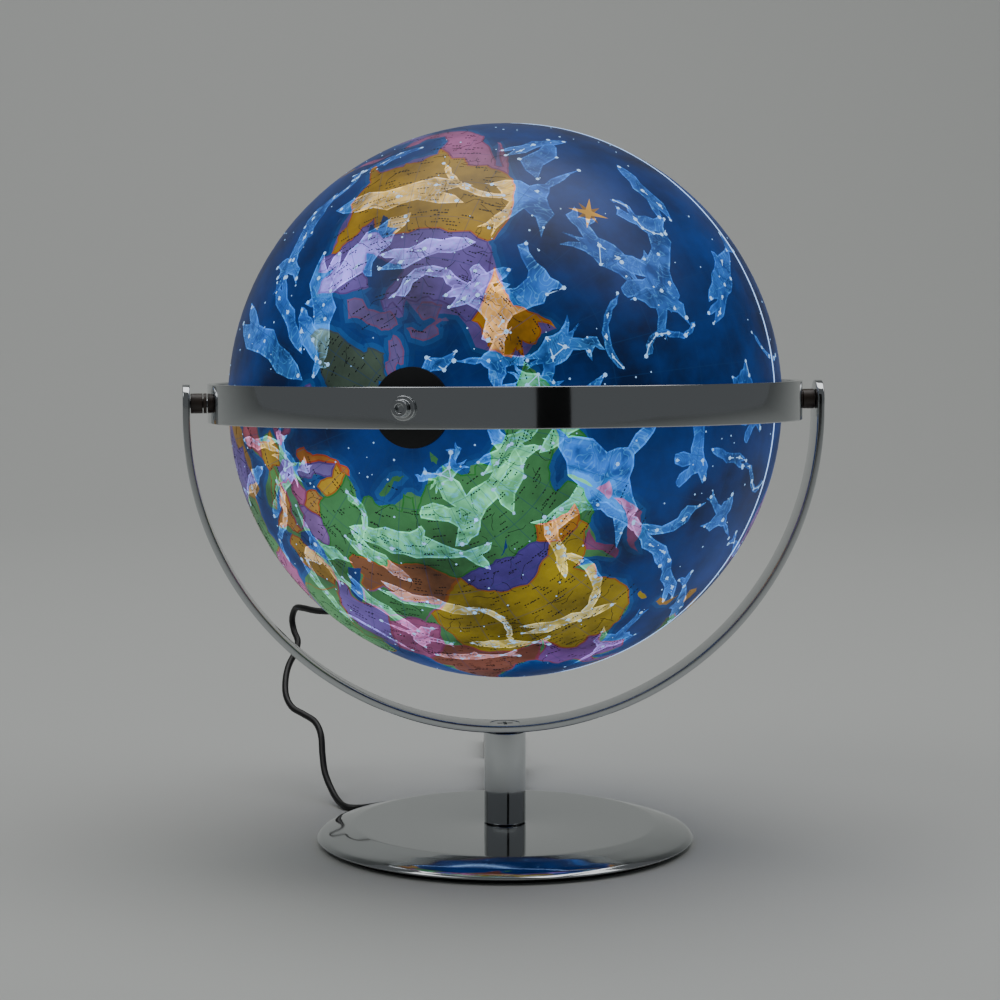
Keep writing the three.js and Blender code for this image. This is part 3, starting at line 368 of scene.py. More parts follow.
# Each land: fill, edge band, then (longitude, latitude) corners in degrees.
lands = {
    "northAmerica": ("#6d58a6", None, [(-168, 66), (-156, 71.5), (-128, 70), (-96, 68.5), (-94, 72),
        (-82, 69.5), (-87, 64.5), (-94, 61), (-93, 58.7), (-85, 55.5), (-80, 51.4), (-79, 55), (-77, 62.5),
        (-70, 61), (-65, 59.5), (-56, 52.5), (-66, 50), (-60.5, 46.8), (-67, 45), (-70, 42), (-76, 37),
        (-76, 35), (-81, 31.5), (-80.2, 26), (-83, 29), (-90, 29), (-97, 27.8), (-97.8, 22.3), (-96, 19),
        (-92, 18.6), (-90.5, 20.8), (-87, 21.5), (-88, 16), (-83.3, 15), (-83.5, 11), (-77.3, 8.3),
        (-83.5, 8.5), (-92, 14.8), (-102, 18), (-106, 23), (-113, 31), (-109.5, 23), (-117.2, 32.6),
        (-124.3, 40), (-123, 49), (-130, 54.5), (-138, 59), (-150, 60.5), (-163, 55), (-162, 60)]),
    "canada": ("#6f5aae", "#5b3f8e", [(-132, 60), (-136, 69.6), (-128, 70), (-115, 68.5), (-108, 68),
        (-96, 68.5), (-94, 72), (-88, 68.5), (-82, 69.5), (-81.5, 67), (-87, 64.5), (-94, 61), (-93, 58.7),
        (-85, 55.5), (-82.3, 53), (-79.5, 51.4), (-79, 54.5), (-76.6, 57), (-78, 60), (-77.5, 62.5),
        (-70, 61), (-65, 59.5), (-61.5, 56.5), (-56, 52.5), (-60, 50.2), (-66, 50.2), (-65, 48.5),
        (-60.5, 46.8), (-64.5, 44), (-67, 45), (-70, 46), (-71.5, 45), (-75, 45), (-79, 43), (-83, 42),
        (-82.5, 45.5), (-84.5, 46.5), (-89, 48), (-95, 49), (-109, 49), (-123, 49), (-125, 50.5),
        (-128, 54.5), (-130, 57)]),
    "alaska": ("#d0931a", "#c06a10", [(-132, 60), (-136, 69.6), (-150, 70.5), (-156.5, 71.3), (-163, 69.5),
        (-166, 68.3), (-162, 66.5), (-168, 65.6), (-161, 64.3), (-165, 62), (-162, 59.5), (-157.5, 58.6),
        (-163, 55.2), (-156, 57), (-150, 59), (-146, 60.8), (-140, 59.6), (-130, 55)]),
    "unitedStates": ("#b08a12", "#b5661a", [(-123, 49), (-109, 49), (-95, 49), (-89, 48), (-84.5, 46.5),
        (-82.5, 45.5), (-83, 42), (-79, 43), (-75, 45), (-71.5, 45), (-70, 46), (-67, 45), (-70, 43),
        (-70.5, 41.7), (-74, 40.5), (-76, 37), (-75.6, 35.3), (-81, 31.5), (-80.2, 26), (-81.5, 25.6),
        (-83, 29), (-85, 29.7), (-89.5, 30), (-90, 29), (-94, 29.6), (-97.3, 27.8), (-97.2, 25.9),
        (-99.5, 27.5), (-101.5, 29.7), (-104.5, 29.6), (-106.5, 31.8), (-111, 31.3), (-117.2, 32.6),
        (-120.5, 34.5), (-122.5, 37.5), (-124.3, 40.3), (-124.5, 47.8)]),
    "mexico": ("#b0619a", "#8f3f78", [(-97.2, 25.9), (-97.8, 22.3), (-96, 19), (-92, 18.6), (-90.5, 20.8),
        (-87, 21.5), (-88, 18.4), (-91, 16), (-93, 15.5), (-97, 15.8), (-102, 18), (-105.5, 20.5),
        (-106, 23), (-109.5, 26.5), (-113, 31), (-114.7, 31), (-111, 25), (-109.5, 23), (-112, 25.5),
        (-114.5, 28), (-116, 30.5), (-117.2, 32.6), (-111, 31.3), (-106.5, 31.8), (-104.5, 29.6),
        (-101.5, 29.7), (-99.5, 27.5)]),
    "greenland": ("#46584c", "#3b4a55", [(-73, 78), (-66, 80.5), (-60, 82.2), (-38, 83.4), (-22, 82.2),
        (-18, 79.5), (-20, 75), (-22, 71), (-30, 68.2), (-39, 65.5), (-43, 60), (-49, 62), (-53.5, 67),
        (-54, 70.5), (-58, 75), (-67, 76)]),
    "ellesmere": ("#6a5a96", "#7d4f80", [(-90, 76.5), (-80, 76), (-77, 78.5), (-62, 82.5), (-75, 83),
        (-90, 81.5), (-93, 79)]),
    "baffin": ("#6a5a96", "#7d4f80", [(-90, 73.5), (-80, 73.7), (-70, 70.5), (-62, 66.5), (-66, 62),
        (-73, 64.5), (-74, 67.5), (-86, 70)]),
    "victoria": ("#6a5a96", "#7d4f80", [(-117, 69), (-105, 69), (-102, 71), (-108, 73), (-117, 72.8)]),
    "banks": ("#6a5a96", "#7d4f80", [(-124, 71.5), (-117, 73.5), (-122, 75), (-100, 76.5), (-96, 74.5),
        (-112, 74)]),
    "cuba": ("#b0619a", None, [(-84.5, 22), (-80, 23), (-74.3, 20.2), (-77.5, 19.9), (-82, 22.4)]),
    "hispaniola": ("#9a7a2a", None, [(-74, 19.8), (-68.5, 18.8), (-71.5, 17.8), (-74.3, 18.4)]),
    "iceland": ("#7a5fae", "#5b3f8e", [(-24, 65.5), (-22, 66.3), (-14.5, 66), (-13.8, 65), (-18.5, 63.4),
        (-22.5, 64)]),
    "eurasia": ("#4b8a55", None, [(28, 70), (41, 67), (44, 66), (54, 68.5), (68, 72), (80, 72.5), (98, 76.2),
        (113, 74), (131, 71), (152, 71), (170, 70), (190, 66), (179, 62.5), (163.5, 59), (157, 51.5),
        (160, 60.8), (143, 59.4), (135.5, 54.6), (141, 53), (140.5, 48), (131, 42.8), (127.5, 39.5),
        (128.5, 35), (126, 35), (122, 39.5), (118, 39), (122.3, 37), (119.5, 35), (121.8, 30), (118, 24.5),
        (110, 21.3), (106, 18.5), (109, 13), (105, 9.5), (100.5, 13), (103.5, 1.5), (98.3, 8.5), (97.5, 16),
        (91, 22.5), (87, 21.2), (80.2, 13.5), (77.6, 8.2), (73, 17), (70, 21), (67, 24.8), (57, 26),
        (52, 24.2), (59.8, 22.5), (45, 12.8), (39, 21.5), (35, 29.5), (36, 36.5), (27.5, 36.8), (26.5, 40),
        (22, 37), (19.4, 42), (13.5, 45.6), (18.5, 40.2), (15.6, 38), (7.5, 43.8), (3.2, 42.5), (-5.5, 36.1),
        (-9.2, 38), (-9, 43.2), (-1.5, 44), (-4.6, 48.4), (8.5, 54), (10, 57.5), (10.5, 54.5), (21, 55.3),
        (24, 59), (30, 60), (22, 60.5), (24, 66), (17.5, 61), (16, 56), (5.5, 59), (14, 68)]),
    "norway": ("#b8752a", "#c04a20", [(5, 59), (5, 62), (10, 64), (14, 68), (20, 70), (28, 71), (31, 70),
        (25, 69), (20, 69), (14, 65), (12, 61), (11, 59), (7.5, 58)]),
    "sweden": ("#7a68b4", "#5b3f8e", [(11, 59), (12, 61), (14, 65), (20, 69), (24, 66), (21.5, 64),
        (17.5, 61.5), (18.5, 60), (16.5, 57.5), (14.5, 55.5), (12.8, 55.6)]),
    "finland": ("#c09a28", "#a5661a", [(24, 66), (20, 69), (25, 69), (28, 70), (30, 67.5), (30, 63),
        (28, 60.6), (22.5, 60), (21.5, 62.5)]),
    "britain": ("#a8588c", "#8f3f78", [(-5.5, 50), (1.3, 51.2), (1.5, 52.7), (-1.5, 55), (-2, 57.6),
        (-5, 58.6), (-6, 56.5), (-3, 54), (-5, 52)]),
    "ireland": ("#5a9a50", None, [(-10, 52), (-6.2, 52.2), (-6, 54.5), (-8, 55.2), (-10, 54)]),
    "russia": ("#41834e", "#257a30", [(28, 60.6), (30, 63), (30, 67.5), (28, 69.5), (33, 69.4), (41, 67),
        (40, 64.6), (44, 66), (44, 68.5), (54, 68.5), (60, 69.8), (67, 69), (68, 73), (75, 72.5), (75, 68),
        (80, 72.5), (87, 75), (98, 76.2), (104, 77.7), (113, 74), (127, 73.5), (131, 71), (140, 72.6),
        (152, 71), (160, 69.8), (170, 70), (180, 69), (190, 66), (181, 64.8), (179, 62.5), (171, 60),
        (163.5, 59.8), (162.5, 56.2), (157, 51.2), (155.8, 56.5), (160, 60.8), (163, 62.4), (155, 59.5),
        (143, 59.4), (135.5, 54.6), (141, 53), (140.5, 48), (135, 43.2), (131, 42.8), (131, 45),
        (134.8, 48.3), (127.5, 49.8), (121, 53.3), (117, 49.5), (108, 49.5), (98, 50.5), (92, 50.6),
        (87.5, 49.2), (83, 51), (77, 54), (71, 54.3), (61.5, 53.8), (61.5, 51), (55, 51), (48, 50.2),
        (47, 48), (49, 46), (47.5, 43), (48.5, 41.8), (40, 43.5), (37, 45), (39, 47.2), (38, 49.8),
        (34, 51.8), (31.5, 53.3), (28, 56.5), (27.5, 59.4)]),
    "novayaZemlya": ("#3a7a46", None, [(52, 71), (56, 71), (60, 75), (68, 76.6), (62, 76.3), (55, 74)]),
    "severnaya": ("#3a7a46", None, [(96, 79), (104, 79), (99, 81)]),
    "ukraine": ("#8a67b0", "#6a3f8e", [(24, 50.8), (31.5, 53.3), (34, 51.8), (38, 49.8), (39, 47.2),
        (35, 46.2), (33.5, 44.6), (30.5, 46.3), (28.5, 45.4), (26.5, 48.2), (22.5, 48.5)]),
    "balticLands": ("#b0863a", "#a04a20", [(21, 55.3), (24, 50.8), (31.5, 53.3), (28, 56.5), (27.5, 59.4),
        (23.5, 59), (21.5, 57.5)]),
    "poland": ("#b0619a", "#8f3f78", [(14.3, 53.8), (18.5, 54.7), (21, 55.3), (24, 50.8), (22.5, 49.2),
        (18, 49.5), (14.8, 51)]),
    "germany": ("#6f5aae", None, [(6.2, 51.5), (7, 53.5), (9, 54.8), (12, 54.3), (14.3, 53.8), (14.8, 51),
        (12.3, 50.3), (13.5, 48.7), (12.8, 47.6), (7.6, 47.6), (8, 49)]),
    "france": ("#c09a28", "#a5661a", [(-4.6, 48.4), (-1.5, 48.7), (1.5, 50.8), (6.2, 49.5), (8, 49),
        (7.6, 47.6), (6.8, 46), (7.5, 43.8), (3.2, 42.5), (-1.7, 43.3), (-1.2, 46)]),
    "iberia": ("#b45a6e", "#8f3f58", [(-9.2, 43.2), (-1.7, 43.3), (3.2, 42.5), (-0.3, 39.5), (-0.7, 37.6),
        (-5.5, 36.1), (-7.4, 37.2), (-9, 37), (-9.4, 38.8), (-8.8, 41.9)]),
    "italy": ("#5a9a50", "#8a5a2a", [(7.5, 43.8), (6.8, 46), (12.8, 46.6), (13.5, 45.6), (12.4, 44.2),
        (16, 41.8), (18.5, 40.2), (16.6, 39.8), (16, 38), (15.6, 40), (12.5, 41.8), (10.3, 43.3)]),
    "balkans": ("#c08a3a", "#a04a20", [(13.5, 45.6), (12.8, 46.6), (16.5, 46.8), (20, 46.1), (22.6, 44.3),
        (28.6, 43.7), (28, 41.8), (26.3, 40.8), (24, 40.6), (23, 38), (21.6, 37), (20, 39.8), (19.4, 42),
        (16, 43.5)]),
    "danubeLands": ("#4f8f6a", "#8f3f78", [(12.8, 47.6), (13.5, 48.7), (12.3, 50.3), (14.8, 51), (18, 49.5),
        (22.5, 49.2), (26.5, 48.2), (28.5, 45.4), (28.6, 43.7), (22.6, 44.3), (20, 46.1), (16.5, 46.8),
        (12.8, 46.6)]),
    "kazakhstan": ("#7f5236", "#a05a20", [(47, 48), (48, 50.2), (55, 51), (61.5, 51), (61.5, 53.8),
        (71, 54.3), (77, 54), (83, 51), (87.5, 49.2), (83, 46), (80, 43), (71, 42.3), (66, 42), (60, 44.5),
        (55.5, 41.5), (52.5, 42.5), (53, 45.2), (49, 46)]),
    "mongolia": ("#4f3f9a", "#3f2f86", [(87.5, 49.2), (92, 50.6), (98, 50.5), (102, 51.5), (108, 49.5),
        (117, 49.5), (119.5, 47), (111.5, 44), (105, 41.8), (97, 42.7), (91, 45)]),
    "china": ("#a08c1c", "#a5661a", [(87.5, 49.2), (91, 45), (97, 42.7), (105, 41.8), (111.5, 44),
        (119.5, 47), (117, 49.5), (121, 53.3), (127.5, 49.8), (134.8, 48.3), (131, 45), (131, 42.8),
        (126.5, 41.6), (124.3, 40), (121.5, 39.2), (118, 39), (119, 37.3), (122.3, 37), (119.5, 35),
        (121.8, 31.8), (121.5, 28.5), (118, 24.5), (113.5, 22.2), (110, 21.3), (108, 21.6), (105.5, 23.2),
        (101.5, 21.3), (98.8, 24), (97.5, 28.2), (92, 27.7), (86, 28), (79, 31), (75.5, 36.5), (74, 39.5),
        (80, 43), (83, 46)]),
    "northeastChina": ("#b07a1c", "#a5561a", [(119.5, 47), (117, 49.5), (121, 53.3), (127.5, 49.8),
        (134.8, 48.3), (131, 45), (126, 44.6), (122, 45)]),
    "korea": ("#8a4f80", "#8f3f78", [(124.3, 40), (126.5, 41.6), (130.5, 42.3), (127.5, 39.5),
        (129.3, 36.5), (128.5, 35), (126.3, 34.6), (126.5, 37.5)]),
    "honshu": ("#8a4f80", None, [(130, 31.3), (132, 33.5), (136, 33.8), (140, 35.2), (141.8, 39.5),
        (141, 41.3), (139.8, 39), (137, 37), (133, 35.5), (130.8, 34)]),
    "hokkaido": ("#8a4f80", None, [(140.2, 42), (143.2, 42.2), (145.3, 43.4), (141.8, 45.3), (141, 43.2)]),
    "sakhalin": ("#41834e", None, [(142, 46.2), (143.3, 49.5), (142.8, 54), (142, 52), (142, 48.5)]),
    "taiwan": ("#a08c1c", None, [(120.2, 23), (121, 22), (121.9, 25), (121, 25)]),
    "india": ("#7c4a3c", "#8f3f58", [(68.2, 23.8), (71, 26.5), (74.5, 31), (79, 31), (86, 28), (92, 27.7),
        (97, 28), (94, 24), (92, 21.5), (88.5, 21.8), (87, 21.2), (82, 16.8), (80.2, 13.5), (77.6, 8.2),
        (76, 10.5), (73, 17), (72.7, 21), (70, 21)]),
    "ceylon": ("#5a9a50", None, [(79.8, 8), (80.2, 9.8), (81.8, 7.4), (80.6, 5.9)]),
    "indusLands": ("#a8588c", "#8f3f78", [(61.5, 25.2), (67, 24.8), (68.2, 23.8), (71, 26.5), (74.5, 31),
        (75.5, 36.5), (71.5, 37), (66.5, 37.3), (61, 35), (61, 29.5)]),
    "iran": ("#6f5aae", "#8f3f58", [(48.5, 30), (51.5, 27.8), (57, 27), (61.5, 25.2), (61, 29.5), (61, 35),
        (61, 36.5), (54, 37.3), (50, 37.3), (48.5, 39.5), (44.5, 39.5), (45.5, 35.5)]),
    "turan": ("#3f7a4a", "#7d4f80", [(53, 41.5), (54, 37.3), (61, 36.5), (66.5, 37.3), (71.5, 37),
        (74, 39.5), (80, 43), (71, 42.3), (66, 42), (60, 44.5), (55.5, 41.5)]),
    "turkey": ("#b08a2a", "#a04a20", [(26.5, 40), (29, 41.2), (35, 42), (41.5, 41.5), (44.5, 39.7),
        (44.5, 37.3), (36.5, 36.2), (32, 36.1), (27.5, 36.8)]),
    "arabia": ("#4f8f5a", "#8a6a2a", [(35, 29.5), (39, 31.8), (44.5, 37.3), (45.5, 35.5), (48.5, 30),
        (50.5, 26.2), (52, 24.2), (56.3, 26.2), (59.8, 22.5), (55, 17), (45, 12.8), (42.8, 15), (39, 21.5),
        (35, 28)]),
    "indochina": ("#7a4f9e", "#8f3f58", [(98.8, 24), (101.5, 21.3), (105.5, 23.2), (108, 21.6),
        (106, 18.5), (109, 13), (106.5, 9), (105, 10), (101, 13), (100.2, 9.5), (103.5, 1.5), (101, 3.5),
        (98.3, 8.5), (98, 15.5), (94.5, 16), (92, 21.5), (94, 24), (97.5, 28.2)]),
    "luzon": ("#b0863a", None, [(120.3, 16), (120.8, 18.5), (122.2, 18.3), (121.5, 15.5), (124, 12.7),
        (120.8, 13.8)]),
    "mindanao": ("#b0863a", None, [(122, 7), (123.5, 8.7), (125.5, 9.7), (126.3, 7), (125.3, 5.8)]),
    "borneo": ("#4f8f5a", "#8f3f58", [(109, 1.5), (111.5, 1.6), (115, 5), (117, 7), (119, 5), (117.8, 1),
        (116, -4), (111, -3.3), (110, -1)]),
    "sumatra": ("#c09a28", None, [(95.3, 5.6), (98, 4.3), (103.5, -0.5), (106, -3), (105.7, -5.9),
        (102, -4.5), (98.7, 1)]),
    "java": ("#c09a28", None, [(105.2, -6.8), (108.5, -6.6), (114.5, -7.8), (114.4, -8.8), (108, -7.9)]),
    "celebes": ("#c09a28", None, [(119.5, -5.6), (119, -3), (120, 1), (125, 1.5), (120.6, 0.4),
        (123, -1), (121.5, -2), (122.5, -4.5), (121, -3)]),
    "newGuinea": ("#8a67b0", "#6a3f8e", [(131, -0.8), (134, -0.9), (135, -3.3), (141, -2.6), (147, -6),
        (150.5, -10.6), (147, -9.5), (143, -9.1), (138, -8.3), (137, -5), (133, -4)]),
    "africa": ("#b0863a", None, [(-6, 35.8), (10.5, 37.2), (11.5, 33.5), (20, 31), (25, 31.6), (32, 31.2),
        (34.5, 28), (37, 21), (39.5, 15), (43.3, 11.7), (51.2, 12), (47, 4), (41.5, -2), (39, -7),
        (40.5, -15), (35, -20), (35.5, -24), (32.7, -28), (27, -33.7), (20, -34.8), (18, -32), (12, -17),
        (13.7, -10), (9, -1), (9.5, 4), (4.5, 6.3), (-4, 5.2), (-8, 4.4), (-13.3, 9), (-17.3, 14.7),
        (-16.2, 20), (-13, 27.7), (-9.8, 30)]),
    "algeria": ("#6f5aae", "#5b3f8e", [(-2, 35.1), (8.5, 37), (8, 33), (9.5, 30), (12, 23.5), (3.5, 19.2),
        (-5, 25), (-9, 27.5), (-1.5, 32)]),
    "libya": ("#4f8f5a", "#8a6a2a", [(11.5, 33.1), (9.5, 30), (12, 23.5), (16, 23.5), (25, 20), (25, 31.6),
        (20, 31), (15.5, 32.3)]),
    "egypt": ("#b0619a", "#8f3f78", [(25, 31.6), (29, 31), (32, 31.2), (34.5, 28), (37, 22), (25, 22)]),
    "sudan": ("#7c5a3c", "#a05a20", [(25, 22), (37, 22), (39, 18), (36.5, 14.5), (34, 9.5), (24, 9),
        (22, 13), (24, 20)]),
    "chad": ("#b45a6e", None, [(16, 23.5), (24, 20), (22, 13), (19, 9), (15, 8), (14, 13)]),
    "congo": ("#5a9a50", "#257a30", [(12.3, -6), (17, -1), (18.5, 4.5), (27, 5), (31, 2), (29, -4),
        (30, -9), (24, -11), (17, -8)]),
    "kenya": ("#8a67b0", None, [(34, 4), (41.9, 4), (41.5, -2), (39, -5), (34, -1)]),
    "angola": ("#b0619a", None, [(12.3, -6), (17, -8), (24, -11), (22, -17.5), (12, -17)]),
    "southAfrica": ("#c09a28", "#a5661a", [(16.5, -28.6), (20, -25), (25, -25.5), (31, -22.3), (32.7, -28),
        (27, -33.7), (20, -34.8), (18, -32)]),
    "madagascar": ("#b45a6e", None, [(49.2, -12.2), (50.3, -15.8), (47.2, -24.9), (44, -23), (44.3, -17)]),
    "southAmerica": ("#b0863a", None, [(-77.3, 8.3), (-72, 12), (-62, 10.6), (-52, 4.5), (-50, 0),
        (-35.2, -5.5), (-39, -13), (-41, -22), (-48.5, -26), (-53.5, -34), (-58, -38.5), (-65, -41),
        (-66, -47), (-69, -52), (-75, -51), (-73, -40), (-71.5, -30), (-70.3, -18), (-76.5, -13.5),
        (-81.2, -5.5), (-80, 0)]),
    "brazil": ("#5a9a50", "#257a30", [(-60, 5), (-52, 4.5), (-50, 0), (-35.2, -5.5), (-39, -13),
        (-41, -22), (-48.5, -26), (-53.5, -33), (-57, -30), (-54.5, -25), (-58, -20), (-60, -15),
        (-65, -11), (-73, -9), (-70, -4), (-69, 1.5), (-63, 2)]),
    "argentina": ("#8a67b0", "#6a3f8e", [(-66, -22), (-57, -26), (-57, -31), (-58, -38.5), (-65, -41),
        (-66, -47), (-69, -52), (-72, -50), (-70, -34), (-68, -25)]),
    "peru": ("#b0619a", "#8f3f78", [(-80, -3.5), (-75, 0), (-70, -4), (-73, -9), (-69, -12), (-70.3, -18),
        (-76.5, -13.5), (-81.2, -5.5)]),
    "colombia": ("#c09a28", None, [(-77.3, 8.3), (-72, 12), (-71, 7), (-67.5, 4), (-69, 1.5), (-70, -4),
        (-75, 0), (-79, 1.5)]),
    "australia": ("#b07a2a", "#a5561a", [(114, -22), (122, -18), (129, -15), (136.5, -12), (135.5, -15),
        (140.8, -17.5), (142.5, -10.8), (146, -19), (153, -27), (150, -37.5), (140, -38), (135.5, -34.8),
        (131, -31.5), (124, -33), (115.2, -34.3), (113.5, -26)]),
    "queensland": ("#8a67b0", None, [(138, -16.6), (140.8, -17.5), (142.5, -10.8), (146, -19), (153, -27),
        (150, -28.6), (141, -28.6), (138, -26)]),
    "tasmania": ("#5a9a50", None, [(144.7, -40.8), (148.2, -41), (147.5, -43.5), (145.8, -43.2)]),
    "northIsland": ("#b0619a", None, [(173, -34.6), (178.3, -37.8), (176, -41.4), (174, -39.4)]),
    "southIsland": ("#b0619a", None, [(172.8, -40.7), (174.2, -41.8), (170.7, -46), (166.6, -46),
        (168.5, -44)]),
    "antarctica": ("#7fa6c4", "#5a86ac", [(-180, -77), (-150, -76), (-120, -73), (-90, -72), (-70, -70),
        (-58, -63.5), (-62, -72), (-45, -78), (-25, -74), (0, -70), (30, -69.5), (60, -67.5), (90, -66.5),
        (120, -66.8), (150, -68.5), (168, -71.5), (165, -77)]),
    "blackSea": (ocean, None, [(28.5, 43), (31, 46), (35, 45.2), (39, 43.8), (41.3, 41.8), (35, 41.9),
        (29.5, 41.4)]),
    "caspian": (ocean, None, [(47.5, 45), (52, 46.8), (52, 42.5), (53.5, 39.5), (53, 37), (49.5, 38.4),
        (49, 41.5)]),
    "lakes": (ocean, None, [(-92, 46.8), (-86, 48.6), (-84.6, 46.6), (-80.5, 45.5), (-82, 43.2),
        (-84, 45.6), (-86, 42), (-87.5, 43), (-87.5, 45.5)]),
    "baikal": (ocean, None, [(104, 51.6), (108, 53), (109.8, 55.7), (106.5, 53)]),
    "hudsonBay": (ocean, None, [(-94, 61), (-93, 58.7), (-85, 55.5), (-82.3, 53), (-79.5, 51.4),
        (-79, 54.5), (-76.6, 57), (-78, 60), (-77.5, 62.5), (-82, 64), (-87, 64.3)]),
}

shelved = ("northAmerica", "greenland", "ellesmere", "baffin", "victoria", "banks", "iceland", "britain",
           "eurasia", "africa", "southAmerica", "australia", "newGuinea", "borneo", "honshu", "hokkaido",
           "sakhalin", "luzon", "madagascar", "antarctica", "novayaZemlya", "northIsland", "southIsland")

# Figures that show when the lamp is on, drawn in unit squares and placed on the sphere.
shapes = {
    "bird": [(1, 0.02), (0.62, 0.1), (0.3, 0.08), (0.1, 0.25), (-0.05, 0.75), (-0.3, 1), (-0.28, 0.55),
             (-0.35, 0.2), (-0.7, 0.15), (-1, 0.22), (-0.8, 0), (-1, -0.2), (-0.65, -0.12), (-0.3, -0.15),
             (-0.3, -0.5), (-0.5, -0.95), (-0.05, -0.7), (0.1, -0.25), (0.3, -0.06), (0.62, -0.06)],
    "whale": [(1, 0), (0.75, 0.2), (0.35, 0.32), (0, 0.3), (-0.35, 0.18), (-0.65, 0.08), (-1, 0.35),
              (-0.88, 0), (-1, -0.32), (-0.65, -0.06), (-0.35, -0.16), (-0.1, -0.28), (-0.05, -0.5),
              (0.1, -0.3), (0.45, -0.28), (0.8, -0.16)],
    "beast": [(1, 0.35), (0.85, 0.5), (0.62, 0.52), (0.4, 0.35), (0, 0.3), (-0.45, 0.36), (-0.75, 0.22),
              (-1, 0.3), (-0.86, 0.02), (-0.8, -0.3), (-0.9, -0.75), (-0.68, -0.75), (-0.55, -0.25),
              (-0.3, -0.12), (0, -0.15), (0.25, -0.2), (0.2, -0.78), (0.42, -0.78), (0.5, -0.2),
              (0.6, -0.4), (0.85, -0.7), (1, -0.55), (0.75, -0.1), (0.72, 0.12)],
    "robe": [(-1, 0.1), (-0.5, 0.3), (0, 0.25), (0.45, 0.42), (1, 0.2), (0.6, 0.02), (0.95, -0.24),
             (0.3, -0.14), (-0.1, -0.3), (-0.6, -0.16)],
    "arc": [(-1, 0.3), (-0.72, 0.02), (-0.35, -0.2), (0.1, -0.3), (0.5, -0.22), (0.82, 0), (1, 0.34),
            (0.76, 0.16), (0.45, -0.02), (0.1, -0.08), (-0.3, 0), (-0.65, 0.2)],
    "crab": [(0.3, 0.3), (0.55, 0.5), (0.5, 0.85), (0.8, 0.6), (0.95, 0.85), (1, 0.45), (0.7, 0.25),
             (0.5, 0.05), (0.9, -0.1), (0.5, -0.12), (0.8, -0.5), (0.35, -0.3), (0, -0.42), (-0.35, -0.3),
             (-0.8, -0.5), (-0.5, -0.12), (-0.9, -0.1), (-0.5, 0.05), (-0.7, 0.25), (-1, 0.45),
             (-0.95, 0.85), (-0.8, 0.6), (-0.5, 0.85), (-0.55, 0.5), (-0.3, 0.3), (0, 0.38)],
    "serpent": [(-1, -0.1), (-0.75, 0.25), (-0.4, 0.32), (-0.1, 0.1), (0.1, -0.14), (0.4, -0.2), (0.6, 0),
                (0.7, 0.3), (1, 0.34), (0.85, 0.18), (0.78, -0.1), (0.6, -0.34), (0.3, -0.42),
                (0, -0.32), (-0.2, -0.1), (-0.45, 0.12), (-0.68, 0.06), (-0.84, -0.14)],
    "kite": [(-1, 0), (-0.1, 0.55), (1, 0.3), (0.35, -0.5)],
}
stars = {
    "bird": [[(1, 0.02), (0.1, 0.02), (-0.9, 0)], [(-0.25, 0.85), (0.1, 0.02), (-0.35, -0.8)]],
    "whale": [[(0.9, 0), (0.35, 0.2), (-0.1, -0.1), (-0.6, 0), (-0.95, 0.3)], [(-0.6, 0), (-0.95, -0.28)]],
    "beast": [[(0.9, 0.42), (0.45, 0.28), (-0.6, 0.25), (-0.85, -0.7)], [(0.45, 0.28), (0.35, -0.7)],
              [(-0.6, 0.25), (-0.98, 0.28)]],
    "robe": [[(-0.9, 0.08), (0, 0), (0.5, 0.2), (0.95, 0.18)], [(0, 0), (0.85, -0.2)]],
    "arc": [[(-0.95, 0.25), (-0.35, -0.1), (0.2, -0.18), (0.7, 0), (0.95, 0.28)]],
    "crab": [[(-0.6, 0.6), (-0.2, 0.1), (0.2, 0.1), (0.6, 0.6)], [(-0.2, 0.1), (0, -0.38), (0.2, 0.1)]],
    "serpent": [[(-0.9, 0), (-0.5, 0.22), (0, -0.15), (0.35, -0.3), (0.7, -0.05), (0.9, 0.28)]],
    "kite": [[(-1, 0), (-0.1, 0.55), (1, 0.3), (0.35, -0.5), (-1, 0)], [(-0.1, 0.55), (0.35, -0.5)]],
}
